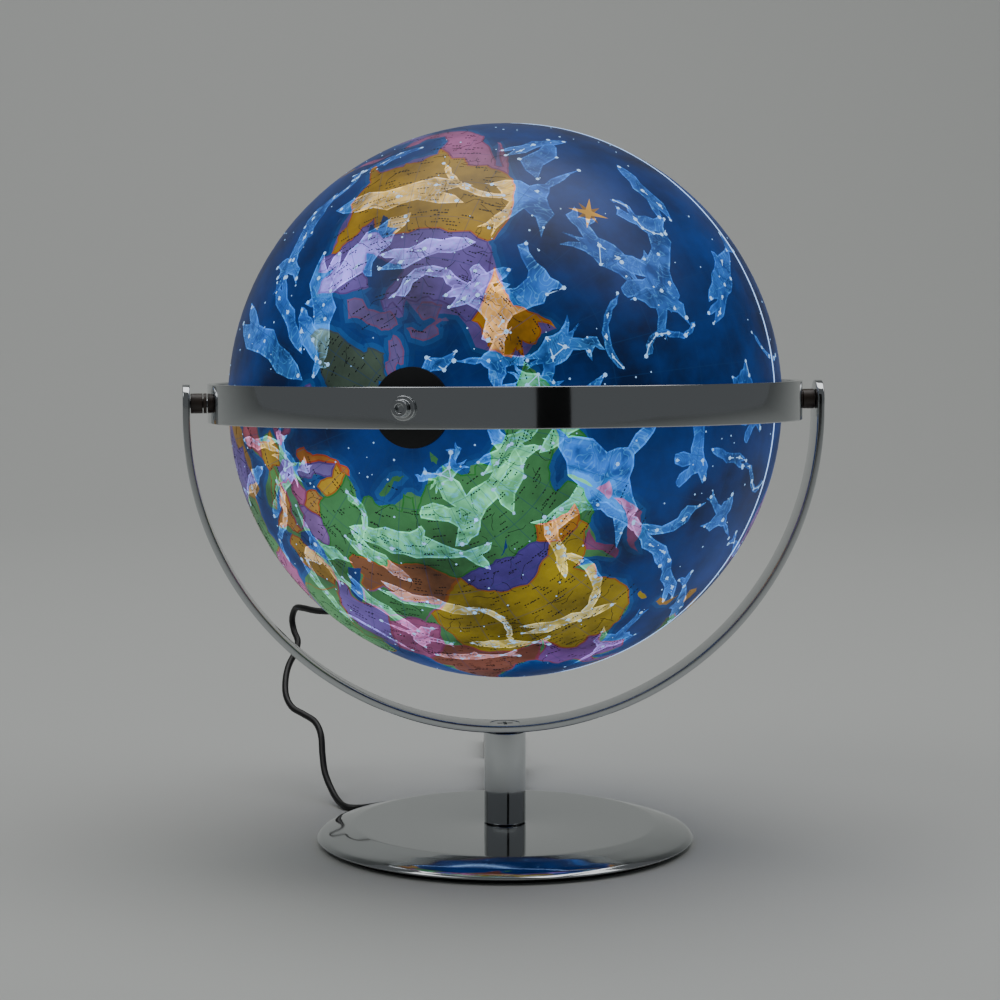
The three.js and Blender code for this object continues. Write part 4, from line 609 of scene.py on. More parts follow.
# Shape, longitude, latitude, half length and half height in mm, turn in degrees, strength.
figures = [
    ("robe", -86, 43, 33, 26, 172, 1.0), ("arc", -104, 40, 20, 16, 150, 0.9), ("whale", -72, 56, 30, 26, 205, 1.0),
    ("robe", -98, 58, 22, 17, 15, 1.0), ("serpent", -112, 65, 26, 20, 12, 1.0), ("robe", -52, 60, 28, 24, 232, 0.9),
    ("whale", -38, 62, 17, 16, 240, 0.9), ("beast", -139, 61, 21, 26, 75, 1.0), ("robe", -124, 63, 16, 14, 60, 1.0),
    ("kite", -128, 80, 9, 8, 60, 0.8), ("crab", -166, 60, 17, 16, 110, 1.0), ("bird", -158, 72, 16, 15, 60, 1.0),
    ("crab", -178, 66, 14, 12, 60, 1.0), ("bird", -122, 39, 30, 20, 255, 0.75), ("kite", -116, 26, 19, 14, 100, 0.55),
    ("robe", -113, 22, 18, 12, 60, 0.7), ("crab", -147, 40, 24, 17, 200, 0.6), ("beast", -153, 30, 25, 24, 140, 0.7),
    ("bird", -162, 34, 20, 16, 330, 0.6), ("arc", -166, 48, 17, 16, 160, 0.55), ("robe", -138, 18, 19, 16, 165, 0.7),
    ("serpent", -143, 27, 14, 10, 190, 0.6), ("whale", -160, 11, 28, 18, 118, 0.65), ("robe", -166, 17, 18, 12, 120, 0.5),
    ("serpent", -172, 36, 17, 11, 100, 0.5), ("whale", -57, 37, 24, 15, 215, 0.8), ("robe", -28, 48, 36, 24, 262, 0.9),
    ("robe", -40, 52, 24, 14, 250, 0.7), ("bird", -50, 42, 16, 14, 200, 0.8), ("serpent", -66, 31, 20, 12, 205, 0.7),
    ("whale", -80, 26, 18, 11, 190, 0.7), ("beast", 122, 69, 29, 21, 186, 1.0), ("kite", 134, 67, 15, 12, 210, 0.9),
    ("robe", 150, 70, 17, 13, 150, 0.9), ("whale", 78, 62, 32, 21, 172, 1.0), ("robe", 62, 57, 18, 13, 160, 0.9),
    ("serpent", 52, 62, 18, 12, 120, 0.9), ("crab", 108, 76, 12, 9, 10, 0.8), ("bird", 152, 49, 40, 32, 330, 1.0),
    ("robe", 168, 58, 22, 15, 320, 0.9), ("serpent", 142, 40, 38, 19, 285, 1.0), ("robe", 137, 33, 18, 12, 250, 0.9),
    ("arc", 120, 38, 22, 24, 60, 1.0), ("robe", 124, 50, 17, 10, 60, 0.9), ("arc", 95, 40, 15, 16, 105, 1.0),
    ("robe", 110, 33, 22, 13, 160, 0.9), ("whale", 94, 32, 18, 12, 160, 0.9), ("robe", 78, 48, 23, 14, 165, 0.9),
    ("robe", 63, 43, 22, 13, 150, 0.9), ("bird", 40, 49, 21, 17, 150, 0.9), ("serpent", 26, 43, 25, 13, 120, 0.9),
    ("robe", 20, 50, 19, 12, 110, 0.9), ("whale", 12, 38, 21, 13, 100, 0.9), ("crab", 12, 57, 13, 12, 30, 0.9),
    ("robe", 3, 48, 18, 10, 80, 0.9), ("robe", 46, 36, 20, 11, 140, 0.8), ("arc", 60, 31, 19, 11, 165, 0.8),
    ("bird", 72, 36, 17, 12, 165, 0.8), ("whale", 84, 28, 20, 11, 180, 0.8), ("bird", 110, 16, 27, 15, 200, 0.7),
    ("whale", 126, 9, 23, 13, 230, 0.7), ("robe", 131, 22, 19, 12, 235, 0.7), ("beast", 163, 31, 19, 15, 190, 0.6),
    ("bird", 147, 16, 19, 12, 240, 0.65), ("serpent", 156, 8, 17, 11, 250, 0.5), ("whale", 140, -1, 18, 11, 250, 0.5),
    ("robe", 160, 20, 15, 9, 260, 0.5), ("beast", 172, 14, 17, 14, 200, 0.5), ("arc", -178, 3, 17, 11, 250, 0.5),
    ("whale", -20, 5, 24, 14, 20, 0.7), ("beast", 20, 5, 30, 24, 10, 0.8), ("crab", 60, -20, 26, 20, 0, 0.7),
    ("bird", 95, -25, 30, 22, 160, 0.7), ("serpent", 130, -30, 30, 16, 20, 0.8), ("whale", 170, -20, 26, 15, 200, 0.6),
    ("beast", -150, -20, 30, 24, 180, 0.7), ("crab", -110, -15, 26, 20, 0, 0.6), ("bird", -90, -40, 28, 22, 30, 0.7),
    ("robe", -60, -15, 30, 20, 280, 0.8), ("serpent", -25, -35, 30, 16, 350, 0.6), ("kite", 10, -50, 24, 18, 0, 0.6),
    ("whale", 70, -58, 28, 15, 0, 0.6), ("beast", 150, -60, 26, 20, 90, 0.6), ("arc", -130, -60, 24, 16, 40, 0.6),
]


def onSphere(longitude, latitude):
    angle = math.radians(longitude + 100)
    high = math.radians(latitude)
    flat = mapUp * math.cos(angle) + mapSide * math.sin(angle)
    return north * math.sin(high) + flat * math.cos(high)


# The flat print is stretched over the form, so middle latitudes end up nearer the pole.
def printed(longitude, latitude):
    fromPole = 90 - abs(latitude)
    pulled = fromPole - 5.5 * math.exp(-((fromPole - 46) / 15) ** 2)
    return onSphere(longitude + 4, math.copysign(90 - pulled, latitude))


# Unit direction of a drawing's point: centre, then sideways and upwards in mm on the globe.
def drawnAt(centre, turn, x, y):
    pole = (north - centre * north.dot(centre)).normalized()
    side = pole.cross(centre)
    c, s = math.cos(math.radians(turn)), math.sin(math.radians(turn))
    offset = side * (x * c - y * s) + pole * (x * s + y * c)
    angle = offset.length / 125
    return centre * math.cos(angle) + offset.normalized() * math.sin(angle) if angle else centre


# Splits each edge at a wandering midpoint. The same edge gives the same coast from either side.
def coast(corners, rough=0.11, levels=2):
    points = list(corners)
    for level in range(levels):
        finer = []
        for a, b in zip(points, points[1:] + points[:1]):
            key = sorted([(round(a[0], 3), round(a[1], 3)), (round(b[0], 3), round(b[1], 3))])
            wander = random.Random(str(key)).uniform(-rough, rough)
            if key[0] != (round(a[0], 3), round(a[1], 3)):
                wander = -wander
            dx, dy = b[0] - a[0], b[1] - a[1]
            finer += [a, (a[0] + dx / 2 - dy * wander, a[1] + dy / 2 + dx * wander)]
        points = finer
    return points


# Moves a drawn outline inwards, for the darker band along a land's edge.
def inset(directions, depth):
    turned = []
    count = len(directions)
    middle = sum(directions, Vector()).normalized()
    area = sum((directions[i].cross(directions[(i + 1) % count])).dot(middle) for i in range(count))
    sign = 1 if area > 0 else -1
    for i, here in enumerate(directions):
        along = (directions[(i + 1) % count] - directions[i - 1]).normalized()
        turned.append((here + here.cross(along) * sign * depth / 125).normalized())
    return turned


def strip(a, b, width):
    side = a.cross(b).normalized() * width / 250
    return [(a + side).normalized(), (b + side).normalized(), (b - side).normalized(), (a - side).normalized()]


def dot(centre, radius, corners=6, inner=None, turn=0):
    count = corners * (2 if inner else 1)
    return [drawnAt(centre, turn + 360 * i / count, inner if inner and i % 2 else radius, 0)
            for i in range(count)]


# The lands and figures, in painting order: outline, fill or None, figure strength.
def printLayers():
    layers = []
    coasts = {name: [printed(*p) for p in coast(corners)] for name, (_, _, corners) in lands.items()}
    for depth, shelf in ((-4.6, "#0c3f86"), (-2.2, "#16549c")):
        for name in shelved:
            layers.append((inset(coasts[name], depth), shelf, 0))
    for name, (fill, edge, corners) in lands.items():
        outline = coasts[name]
        if edge:
            layers.append((outline, edge, 0))
            layers.append((inset(outline, 0.75), fill, 0))
        else:
            layers.append((outline, fill, 0))
    for shape, longitude, latitude, length, height, turn, strength in figures:
        centre = onSphere(longitude, latitude)
        outline = [drawnAt(centre, turn, x * length, y * height) for x, y in coast(shapes[shape], 0.16, 1)]
        layers.append((outline, None, strength))
        layers.append((inset(outline, 0.7), None, 0.5 * strength))
    compass = onSphere(-135.5, 35.5)
    layers.append((dot(compass, 6.6, 4, 1.9, 78), "#8f6416", 0))
    layers.append((dot(compass, 9, 4, 1.9, 33), "#e0a428", 0))
    return layers


# Thin raised ink on the print: short rules, river threads and town dots in place of the lettering.
def inkMarks():
    draw = random.Random(5)
    loops = []
    for name, (fill, edge, corners) in lands.items():
        if fill == ocean:
            continue
        outline = [printed(*p) for p in corners]
        middle = sum(outline, Vector()).normalized()
        spread = max((p - middle).length for p in outline) * 125
        plane = np.array([flatFrom(middle, p) for p in outline])
        for i in range(int(min(spread, 60) ** 2 / 9)):
            x, y = draw.uniform(-spread, spread), draw.uniform(-spread, spread) * 0.8
            size, kind = draw.uniform(1.6, 4.2), draw.random()
            if not insideMany(plane, np.array([[x, y]]))[0]:
                continue
            spot = drawnAt(middle, 0, x, y)
            if kind < 0.25:
                loops.append(dot(spot, 0.32, 5))
            elif kind < 0.85:
                for k in range(draw.randint(2, 4)):
                    loops.append(strip(drawnAt(spot, 0, k * size * 0.42, 0),
                                       drawnAt(spot, 0, k * size * 0.42 + size * 0.26, 0), 0.5))
            else:
                last, heading = spot, draw.uniform(0, 360)
                for k in range(4):
                    heading += draw.uniform(-45, 45)
                    ahead = drawnAt(last, heading, 2.2, 0)
                    loops.append(strip(last, ahead, 0.2))
                    last = ahead
    return loops


# Pale threads and dots of the figures.
def starMarks():
    draw = random.Random(6)
    loops = []
    for shape, longitude, latitude, length, height, turn, strength in figures:
        centre = onSphere(longitude, latitude)
        for line in stars[shape]:
            spots = [drawnAt(centre, turn, x * length, y * height) for x, y in line]
            for a, b in zip(spots, spots[1:]):
                loops.append(strip(a, b, 0.4))
            loops += [dot(spot, draw.uniform(0.6, 1.1)) for spot in spots]
    return loops


# A direction's place in mm on the flat drawn round a centre.
def flatFrom(centre, direction):
    pole = (north - centre * north.dot(centre)).normalized()
    side = pole.cross(centre)
    angle = centre.angle(direction)
    flat = direction - centre * direction.dot(centre)
    return (flat.dot(side) / max(flat.length, 1e-9) * angle * 125, flat.dot(pole) / max(flat.length, 1e-9) * angle * 125)


# Which of many places lie inside a loop.
def insideMany(loop, places):
    hit = np.zeros(len(places), bool)
    near = np.flatnonzero(((places >= loop.min(0)) & (places <= loop.max(0))).all(axis=1))
    x, y = places[near, 0], places[near, 1]
    found = np.zeros(len(near), bool)
    for (ax, ay), (bx, by) in zip(loop, np.roll(loop, -1, axis=0)):
        if ay != by:
            found ^= ((ay > y) != (by > y)) & (x < (bx - ax) * (y - ay) / (by - ay) + ax)
    hit[near] = found
    return hit


# Closed thin tablets on the globe, one per loop of directions, from under the print to just over it.
def tablets(name, loops, surface, low=124.7, high=124.84):
    verts, faces = [], []
    for loop in loops:
        middle = sum(loop, Vector()).normalized()
        if abs(middle.dot(north)) > 0.988 or abs(middle.dot(north)) < 0.012:
            continue
        area = sum((a.cross(b)).dot(middle) for a, b in zip(loop, loop[1:] + loop[:1]))
        loop = loop if area > 0 else loop[::-1]
        base, count = len(verts), len(loop)
        verts += [globeCentre + d * low * mm for d in loop] + [globeCentre + d * high * mm for d in loop]
        faces.append([base + k for k in range(count)][::-1])
        faces.append([base + count + k for k in range(count)])
        for k in range(count):
            j = (k + 1) % count
            faces.append([base + k, base + j, base + count + j, base + count + k])
    return meshPiece(name, verts, faces, surface, "globe", "map_plastic", sharpAngle=30)


# Loose stars: discs scattered over the ball, none of them under the caps or on the seam.
looseStars = {"radius": 124.77, "thickness": 0.14, "small": 0.22, "large": 0.5, "perSquareMetre": 2800,
              "seed": 11, "sides": 6, "seamGap": 0.012, "capEdge": 0.988}


def scatterTree():
    tree = bpy.data.node_groups.new("star scatter", "GeometryNodeTree")
    tree.interface.new_socket("Geometry", in_out="OUTPUT", socket_type="NodeSocketGeometry")
    kinds = {"Ball Radius": "Float", "Thickness": "Float", "Smallest": "Float", "Largest": "Float",
             "Density": "Float", "Seed": "Int", "Sides": "Int", "Seam Gap": "Float", "Cap Edge": "Float",
             "Pole": "Vector", "Centre": "Vector", "Ink": "Material"}
    for name, kind in kinds.items():
        tree.interface.new_socket(name, in_out="INPUT", socket_type=f"NodeSocket{kind}")
    given = addNode(tree, "NodeGroupInput").outputs
    ball = addNode(tree, "GeometryNodeMeshIcoSphere", {"Subdivisions": 5}, {"Radius": given["Ball Radius"]})
    spread = addNode(tree, "GeometryNodeDistributePointsOnFaces", links={
        "Mesh": ball.outputs["Mesh"], "Density": given["Density"], "Seed": given["Seed"]})
    outward = addNode(tree, "ShaderNodeVectorMath", {"operation": "NORMALIZE"},
                      {0: addNode(tree, "GeometryNodeInputPosition").outputs[0]})
    onBall = addNode(tree, "ShaderNodeVectorMath", {"operation": "SCALE"},
                     {0: outward.outputs[0], "Scale": given["Ball Radius"]})
    placed = addNode(tree, "GeometryNodeSetPosition", links={
        "Geometry": spread.outputs["Points"], "Position": onBall.outputs[0]})
    along = addNode(tree, "ShaderNodeVectorMath", {"operation": "DOT_PRODUCT"},
                    {0: outward.outputs[0], 1: given["Pole"]})
    height = addNode(tree, "ShaderNodeMath", {"operation": "ABSOLUTE"}, {0: along.outputs["Value"]})
    onSeam = addNode(tree, "ShaderNodeMath", {"operation": "LESS_THAN"}, {0: height.outputs[0], 1: given["Seam Gap"]})
    onCap = addNode(tree, "ShaderNodeMath", {"operation": "GREATER_THAN"}, {0: height.outputs[0], 1: given["Cap Edge"]})
    barred = addNode(tree, "ShaderNodeMath", {"operation": "MAXIMUM"}, {0: onSeam.outputs[0], 1: onCap.outputs[0]})
    kept = addNode(tree, "GeometryNodeDeleteGeometry", {"domain": "POINT"}, {
        "Geometry": placed.outputs[0], "Selection": barred.outputs[0]})
    disc = addNode(tree, "GeometryNodeMeshCylinder", {"Radius": 1.0}, {
        "Vertices": given["Sides"], "Depth": given["Thickness"]})
    size = addNode(tree, "FunctionNodeRandomValue", {"data_type": "FLOAT"})
    tree.links.new(given["Smallest"], size.inputs[2])
    tree.links.new(given["Largest"], size.inputs[3])
    tree.links.new(given["Seed"], size.inputs["Seed"])
    scale = addNode(tree, "ShaderNodeCombineXYZ", {"Z": 1.0}, {"X": size.outputs[1], "Y": size.outputs[1]})
    facing = addNode(tree, "FunctionNodeAlignRotationToVector", {"axis": "Z"}, {"Vector": outward.outputs[0]})
    discs = addNode(tree, "GeometryNodeInstanceOnPoints", links={
        "Points": kept.outputs[0], "Instance": disc.outputs["Mesh"], "Rotation": facing.outputs[0],
        "Scale": scale.outputs[0]})
    moved = addNode(tree, "GeometryNodeTransform", links={
        "Geometry": discs.outputs[0], "Translation": given["Centre"]})
    real = addNode(tree, "GeometryNodeRealizeInstances", links={"Geometry": moved.outputs[0]})
    inked = addNode(tree, "GeometryNodeSetMaterial", links={
        "Geometry": real.outputs[0], "Material": given["Ink"]})
    addNode(tree, "NodeGroupOutput", links={0: inked.outputs[0]})
    return tree


# A piece made by a tree: its result becomes a plain mesh before the piece rides on anything.
def treePiece(name, tree, values, body):
    blank = bpy.data.objects.new("blank", bpy.data.meshes.new("blank"))
    bpy.context.scene.collection.objects.link(blank)
    modifier = blank.modifiers.new("tree", "NODES")
    modifier.node_group = tree
    for socket in tree.interface.items_tree:
        if socket.in_out == "INPUT":
            modifier[socket.identifier] = values[socket.name]
    graph = bpy.context.evaluated_depsgraph_get()
    mesh = bpy.data.meshes.new_from_object(blank.evaluated_get(graph))
    bpy.data.objects.remove(blank)
    mesh.name = name
    piece = bpy.data.objects.new(name, mesh)
    bpy.context.scene.collection.objects.link(piece)
    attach(piece, body)
    return piece


# One half of the globe: the print is cut into flat faces on a plane seen from the far pole.
def hemisphere(name, sign, layers, surface):
    outer, wall = 124.8, 2.0
    seam = 2 * math.atan(1) - 0.7 / outer  # angle from the pole to the seam's edge
    hole = math.asin(8 / outer)

    def toPlane(direction):
        high = direction.dot(north) * sign
        scale = 1 / max(1 + high, 0.08)
        return Vector((direction.dot(mapUp) * scale, direction.dot(mapSide) * scale))

    def fromPlane(point):
        radius = point.length
        angle = 2 * math.atan(radius)
        flat = (mapUp * point.x + mapSide * point.y) / max(radius, 1e-9)
        return north * math.cos(angle) * sign + flat * math.sin(angle)

    points, edges, loops, kept = [], [], [], []

    def addLoop(loop):
        base, count = len(points), len(loop)
        edges.extend((base + k, base + (k + 1) % count) for k in range(count))
        points.extend(loop)
        loops.append(np.array([tuple(p) for p in loop]))

    def circle(angle, count):
        reach = math.tan(angle / 2)
        return [Vector((reach * math.cos(2 * math.pi * i / count), reach * math.sin(2 * math.pi * i / count)))
                for i in range(count)]

    addLoop(circle(seam, 240))
    addLoop(circle(hole, 48))
    for layer in layers:
        heights = [d.dot(north) * sign for d in layer[0]]
        if max(heights) > -0.02 and min(heights) > -0.9:
            addLoop([toPlane(d) for d in layer[0]])
            kept.append(layer)
    spare = random.Random(8)
    for k in range(2, 30):
        angle = math.radians(k * 3)
        if angle < seam - 0.01:
            count = max(16, int(120 * math.sin(angle)))
            points.extend(p * spare.uniform(0.999, 1.001) for p in circle(angle, count))
    flatVerts, _, flatFaces, _, _, _ = delaunay_2d_cdt(points, edges, [], 0, 1e-6, True)
    table = np.array([tuple(v) for v in flatVerts])
    middles = table[np.array([list(f) for f in flatFaces])].mean(axis=1)
    within = [insideMany(loop, middles) for loop in loops]
    shown = np.flatnonzero(within[0] & ~within[1])
    used = sorted({v for i in shown for v in flatFaces[i]})
    index = {v: i for i, v in enumerate(used)}
    directions = [fromPlane(flatVerts[v]) for v in used]
    count = len(directions)
    verts = [globeCentre + d * outer * mm for d in directions]
    verts += [globeCentre + d * (outer - wall) * mm for d in directions]
    tops = [[index[v] for v in flatFaces[i]] for i in shown]
    if (directions[tops[0][1]] - directions[tops[0][0]]).cross(
            directions[tops[0][2]] - directions[tops[0][0]]).dot(directions[tops[0][0]]) < 0:
        tops = [t[::-1] for t in tops]
    sides = {}
    for t in tops:
        for a, b in zip(t, t[1:] + t[:1]):
            sides[(a, b)] = sides.get((a, b), 0) + 1
    rims = [(a, b) for a, b in sides if (b, a) not in sides]
    allFaces = tops + [[v + count for v in t[::-1]] for t in tops]
    allFaces += [[b, a, a + count, b + count] for a, b in rims]
    colours = np.tile(linear(ocean), (len(flatFaces), 1))
    figured = np.tile([0.0, 0, 0, 1], (len(flatFaces), 1))
    for (_, fill, strength), hit in zip(kept, within[2:]):
        if fill:
            colours[hit] = linear(fill)
        else:
            figured[hit, :3] = strength
    piece = meshPiece(name, verts, allFaces, surface, None, None, sharpAngle=50)
    mesh = piece.data
    if len(mesh.polygons) != len(allFaces):
        raise ValueError(f"{name}: {len(allFaces) - len(mesh.polygons)} faces were dropped")
    paths = np.repeat(np.arange(len(allFaces)), [len(f) for f in allFaces])
    for attribute, values, blank in (("mapColour", colours, linear("#9fb8d8")),
                                     ("mapFigures", figured, [0, 0, 0, 1])):
        perFace = np.concatenate([values[shown], values[shown], np.tile(blank, (len(rims), 1))])
        layer = mesh.color_attributes.new(attribute, "FLOAT_COLOR", "CORNER")
        layer.data.foreach_set("color", perFace[paths].ravel())
    mesh.color_attributes.active_color_index = 0
    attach(piece, "globe")
    return piece


# Printed shell, lit from inside: the print's own colours glow, figures add a pale wash with
# brush streaks and bright threads.
# Satin print that glows from within: deep cloudy colours, bright wandering figures, a faint ruled net.
def mapPrint():
    made, tree, shader = newMaterial("ABS shell, printed and lit from inside", {
        "Roughness": 0.42, "IOR": 1.46, "Emission Strength": 1.25})
    spot = addNode(tree, "ShaderNodeTexCoord").outputs["Object"]
    colour = addNode(tree, "ShaderNodeAttribute", {"attribute_name": "mapColour"}).outputs["Color"]
    figure = addNode(tree, "ShaderNodeAttribute", {"attribute_name": "mapFigures"}).outputs["Fac"]
    # paint: soft cloudy changes of depth over the sea and the lands
    cloud = addNode(tree, "ShaderNodeTexNoise", {"Scale": 22.0, "Detail": 5.0, "Roughness": 0.6},
                    {"Vector": spot})
    depth = addNode(tree, "ShaderNodeMapRange", {"From Min": 0.33, "From Max": 0.67, "To Min": 0.14, "To Max": 0.7},
                    {"Value": cloud.outputs["Fac"]})
    painted = addNode(tree, "ShaderNodeVectorMath", {"operation": "SCALE"},
                      {0: colour, "Scale": depth.outputs[0]})
    # figures: brush streaks that wander, with thin bright ridges
    streak = addNode(tree, "ShaderNodeTexNoise", {"Scale": 60.0, "Detail": 5.0, "Distortion": 2.2},
                     {"Vector": spot})
    body = addNode(tree, "ShaderNodeMapRange", {"From Min": 0.38, "From Max": 0.6, "To Min": 0.3, "To Max": 1.3},
                   {"Value": streak.outputs["Fac"]})
    fold = addNode(tree, "ShaderNodeTexNoise", {"Scale": 55.0, "Detail": 2.0, "Distortion": 2.4},
                   {"Vector": spot})
    ridge = addNode(tree, "ShaderNodeMath", {"operation": "PINGPONG", 1: 0.06}, {0: fold.outputs["Fac"]})
    thread = addNode(tree, "ShaderNodeMapRange", {"From Min": 0.0, "From Max": 0.014, "To Min": 1.0, "To Max": 0.0},
                     {"Value": ridge.outputs[0]})
    wash = addNode(tree, "ShaderNodeMath", {"operation": "MULTIPLY"},
                   {0: figure, 1: body.outputs[0]})
    threads = addNode(tree, "ShaderNodeMath", {"operation": "MULTIPLY"},
                      {0: figure, 1: thread.outputs[0]})
    lift = addNode(tree, "ShaderNodeMath", {"operation": "MULTIPLY_ADD", 1: 6.2, 2: 1.0},
                   {0: wash.outputs[0]})
    lifted = addNode(tree, "ShaderNodeVectorMath", {"operation": "SCALE"},
                     {0: painted.outputs[0], "Scale": lift.outputs[0]})
    tint = addNode(tree, "ShaderNodeMath", {"operation": "MULTIPLY_ADD", 1: 0.7}, {
        0: threads.outputs[0], 2: addNode(tree, "ShaderNodeMath", {"operation": "MULTIPLY", 1: 0.2},
                                          {0: wash.outputs[0]}).outputs[0]})
    figured = addNode(tree, "ShaderNodeMix", {"data_type": "RGBA", 7: linear("#5cb4ff")},
                      {"Factor": tint.outputs[0], 6: lifted.outputs[0]})
    # ruled net of meridians and parallels every 10 degrees, thin and darker than the sea
    turn = Matrix((mapUp, mapSide, north)).to_euler()
    local = addNode(tree, "ShaderNodeMapping", {"vector_type": "POINT", "Rotation": turn,
                                                "Location": Matrix((mapUp, mapSide, north)) @ -globeCentre},
                    {"Vector": spot})
    unit = addNode(tree, "ShaderNodeVectorMath", {"operation": "NORMALIZE"}, {0: local.outputs[0]})
    axes = addNode(tree, "ShaderNodeSeparateXYZ", links={0: unit.outputs[0]})
    net = []
    flat = addNode(tree, "ShaderNodeMath", {"operation": "MULTIPLY"}, {0: axes.outputs[2], 1: axes.outputs[2]})
    reach = addNode(tree, "ShaderNodeMath", {"operation": "SUBTRACT", 0: 1.0}, {1: flat.outputs[0]})
    across = addNode(tree, "ShaderNodeMath", {"operation": "SQRT"}, {0: reach.outputs[0]})
    meridian = addNode(tree, "ShaderNodeMath", {"operation": "ARCTAN2"},
                       {0: axes.outputs[1], 1: axes.outputs[0]})
    parallel = addNode(tree, "ShaderNodeMath", {"operation": "ARCSINE"}, {0: axes.outputs[2]})
    halfStep = math.radians(5)
    for angle, scale in ((meridian, across), (parallel, None)):
        away = addNode(tree, "ShaderNodeMath", {"operation": "PINGPONG", 1: halfStep}, {0: angle.outputs[0]})
        if scale:
            away = addNode(tree, "ShaderNodeMath", {"operation": "MULTIPLY"},
                           {0: away.outputs[0], 1: scale.outputs[0]})
        net.append(addNode(tree, "ShaderNodeMath", {"operation": "LESS_THAN", 1: 0.0014}, {0: away.outputs[0]}))
    ruled = addNode(tree, "ShaderNodeMath", {"operation": "MAXIMUM"}, {0: net[0].outputs[0], 1: net[1].outputs[0]})
    faint = addNode(tree, "ShaderNodeMath", {"operation": "MULTIPLY", 1: 0.42}, {0: ruled.outputs[0]})
    final = addNode(tree, "ShaderNodeMix", {"data_type": "RGBA", 7: linear("#0c2b55")},
                    {"Factor": faint.outputs[0], 6: figured.outputs[2]})
    dull = addNode(tree, "ShaderNodeVectorMath", {"operation": "SCALE", "Scale": 0.22}, {0: final.outputs[2]})
    tree.links.new(dull.outputs[0], shader.inputs["Base Color"])
    tree.links.new(final.outputs[2], shader.inputs["Emission Color"])
    return made


printSurface = mapPrint()
layers = printLayers()
northHalf = hemisphere("north_map", 1, layers, printSurface)
southHalf = hemisphere("south_map", -1, layers, printSurface)
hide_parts("north_hemisphere")
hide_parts("south_hemisphere")
darkInk = grained("ink, screen printed dark blue", "#0a1626", 0.5, grain=0.5)
starInk = grained("pearl ink, lets the lamp through", "#cfe6ff", 0.4, grain=0.5,
                  Emission_Color=linear("#8cc6ff"), Emission_Strength=0.9)
tablets("ink_marks", inkMarks(), darkInk)
tablets("star_marks", starMarks(), starInk)
scattered = treePiece("loose_stars", scatterTree(), {
    "Ball Radius": looseStars["radius"] * mm, "Thickness": looseStars["thickness"] * mm,
    "Smallest": looseStars["small"] * mm, "Largest": looseStars["large"] * mm,
    "Density": looseStars["perSquareMetre"] * 1.0, "Seed": looseStars["seed"],
    "Sides": looseStars["sides"], "Seam Gap": looseStars["seamGap"], "Cap Edge": looseStars["capEdge"],
    "Pole": list(north), "Centre": list(globeCentre), "Ink": starInk}, "globe")
print("stars", len(scattered.data.polygons))
print("globe", len(northHalf.data.polygons), len(southHalf.data.polygons))

seamRing = [(122.1, -0.4), (125, -0.4), (125, 0.4), (122.1, 0.4), (122.1, 5), (120.3, 5), (120.3, -5),
            (122.1, -5), (122.1, -0.4)]
meshPiece("seam_ring", *turnedMesh(rounded(seamRing, 0.15, 2), 192, north, globeCentre), seamAcrylic,
          "globe", "clear_plastic", ("equator_band",))

# Pole caps and bushes


def arcProfile(radius, fromReach, toReach, steps=10):
    angles = np.linspace(math.asin(fromReach / radius), math.asin(toReach / radius), steps + 1)
    return [(radius * math.sin(a), radius * math.cos(a)) for a in angles]


capProfile = arcProfile(125.3, 8, 17) + arcProfile(126.75, 16.9, 8)
capProfile.append(capProfile[0])
for side, direction, bore in (("north", north, 2.3), ("south", -north, 4.8)):
    meshPiece(f"{side}_cap", *turnedMesh(capProfile, 96, direction, globeCentre), blackPlastic,
              "globe", "black_plastic", (f"{side}_pole_cap",))
    bush = [(bore, 120), (11, 120), (11, 122), (7.7, 122), (7.7, 126.7), (bore, 126.7), (bore, 120)]
    meshPiece(f"{side}_bearing_bush", *turnedMesh(rounded(bush, 0.4), 64, direction, globeCentre),
              blackPlastic, "globe", "black_plastic", (f"{side}_bush",))

# Ring and what is fixed to it

ringAxis = tiltTurn @ up
ringBand = {"inner": 131, "outer": 134, "halfWidth": 8.75, "edge": 0.45, "sides": 240,
            "screwHole": 2.3, "studHole": 4.8}
inner, outer, half = ringBand["inner"], ringBand["outer"], ringBand["halfWidth"]
ringProfile = [(inner, -half), (outer, -half), (outer, half), (inner, half), (inner, -half)]
ringBlank = turnedMesh(rounded(ringProfile, ringBand["edge"], 5), ringBand["sides"], ringAxis, globeCentre)
right = Vector((1, 0, 0))
ringHoles = [rod(ringBand["screwHole"], 128, 137, 40, outward, globeCentre)
             for outward in (right, -right, north)]
ringHoles.append(rod(ringBand["studHole"], 128, 137, 40, -north, globeCentre))
meshPiece("ring_band", *cutMesh(*ringBlank, ringHoles), chrome, "ring", "chrome", ("gimbal_ring",))

poleScrew = [(0, 119), (2, 119), (2, 134.3), (5.2, 134.3), (5.2, 135.9), (3.6, 135.9), (3.6, 140.5),
             (1.9, 140.5), (1.7, 136.9), (0, 136.9)]
meshPiece("pole_screw", *turnedMesh(rounded(poleScrew, 0.35), 72, north, globeCentre), chrome, "ring",
          "chrome", ("north_pole_screw",))


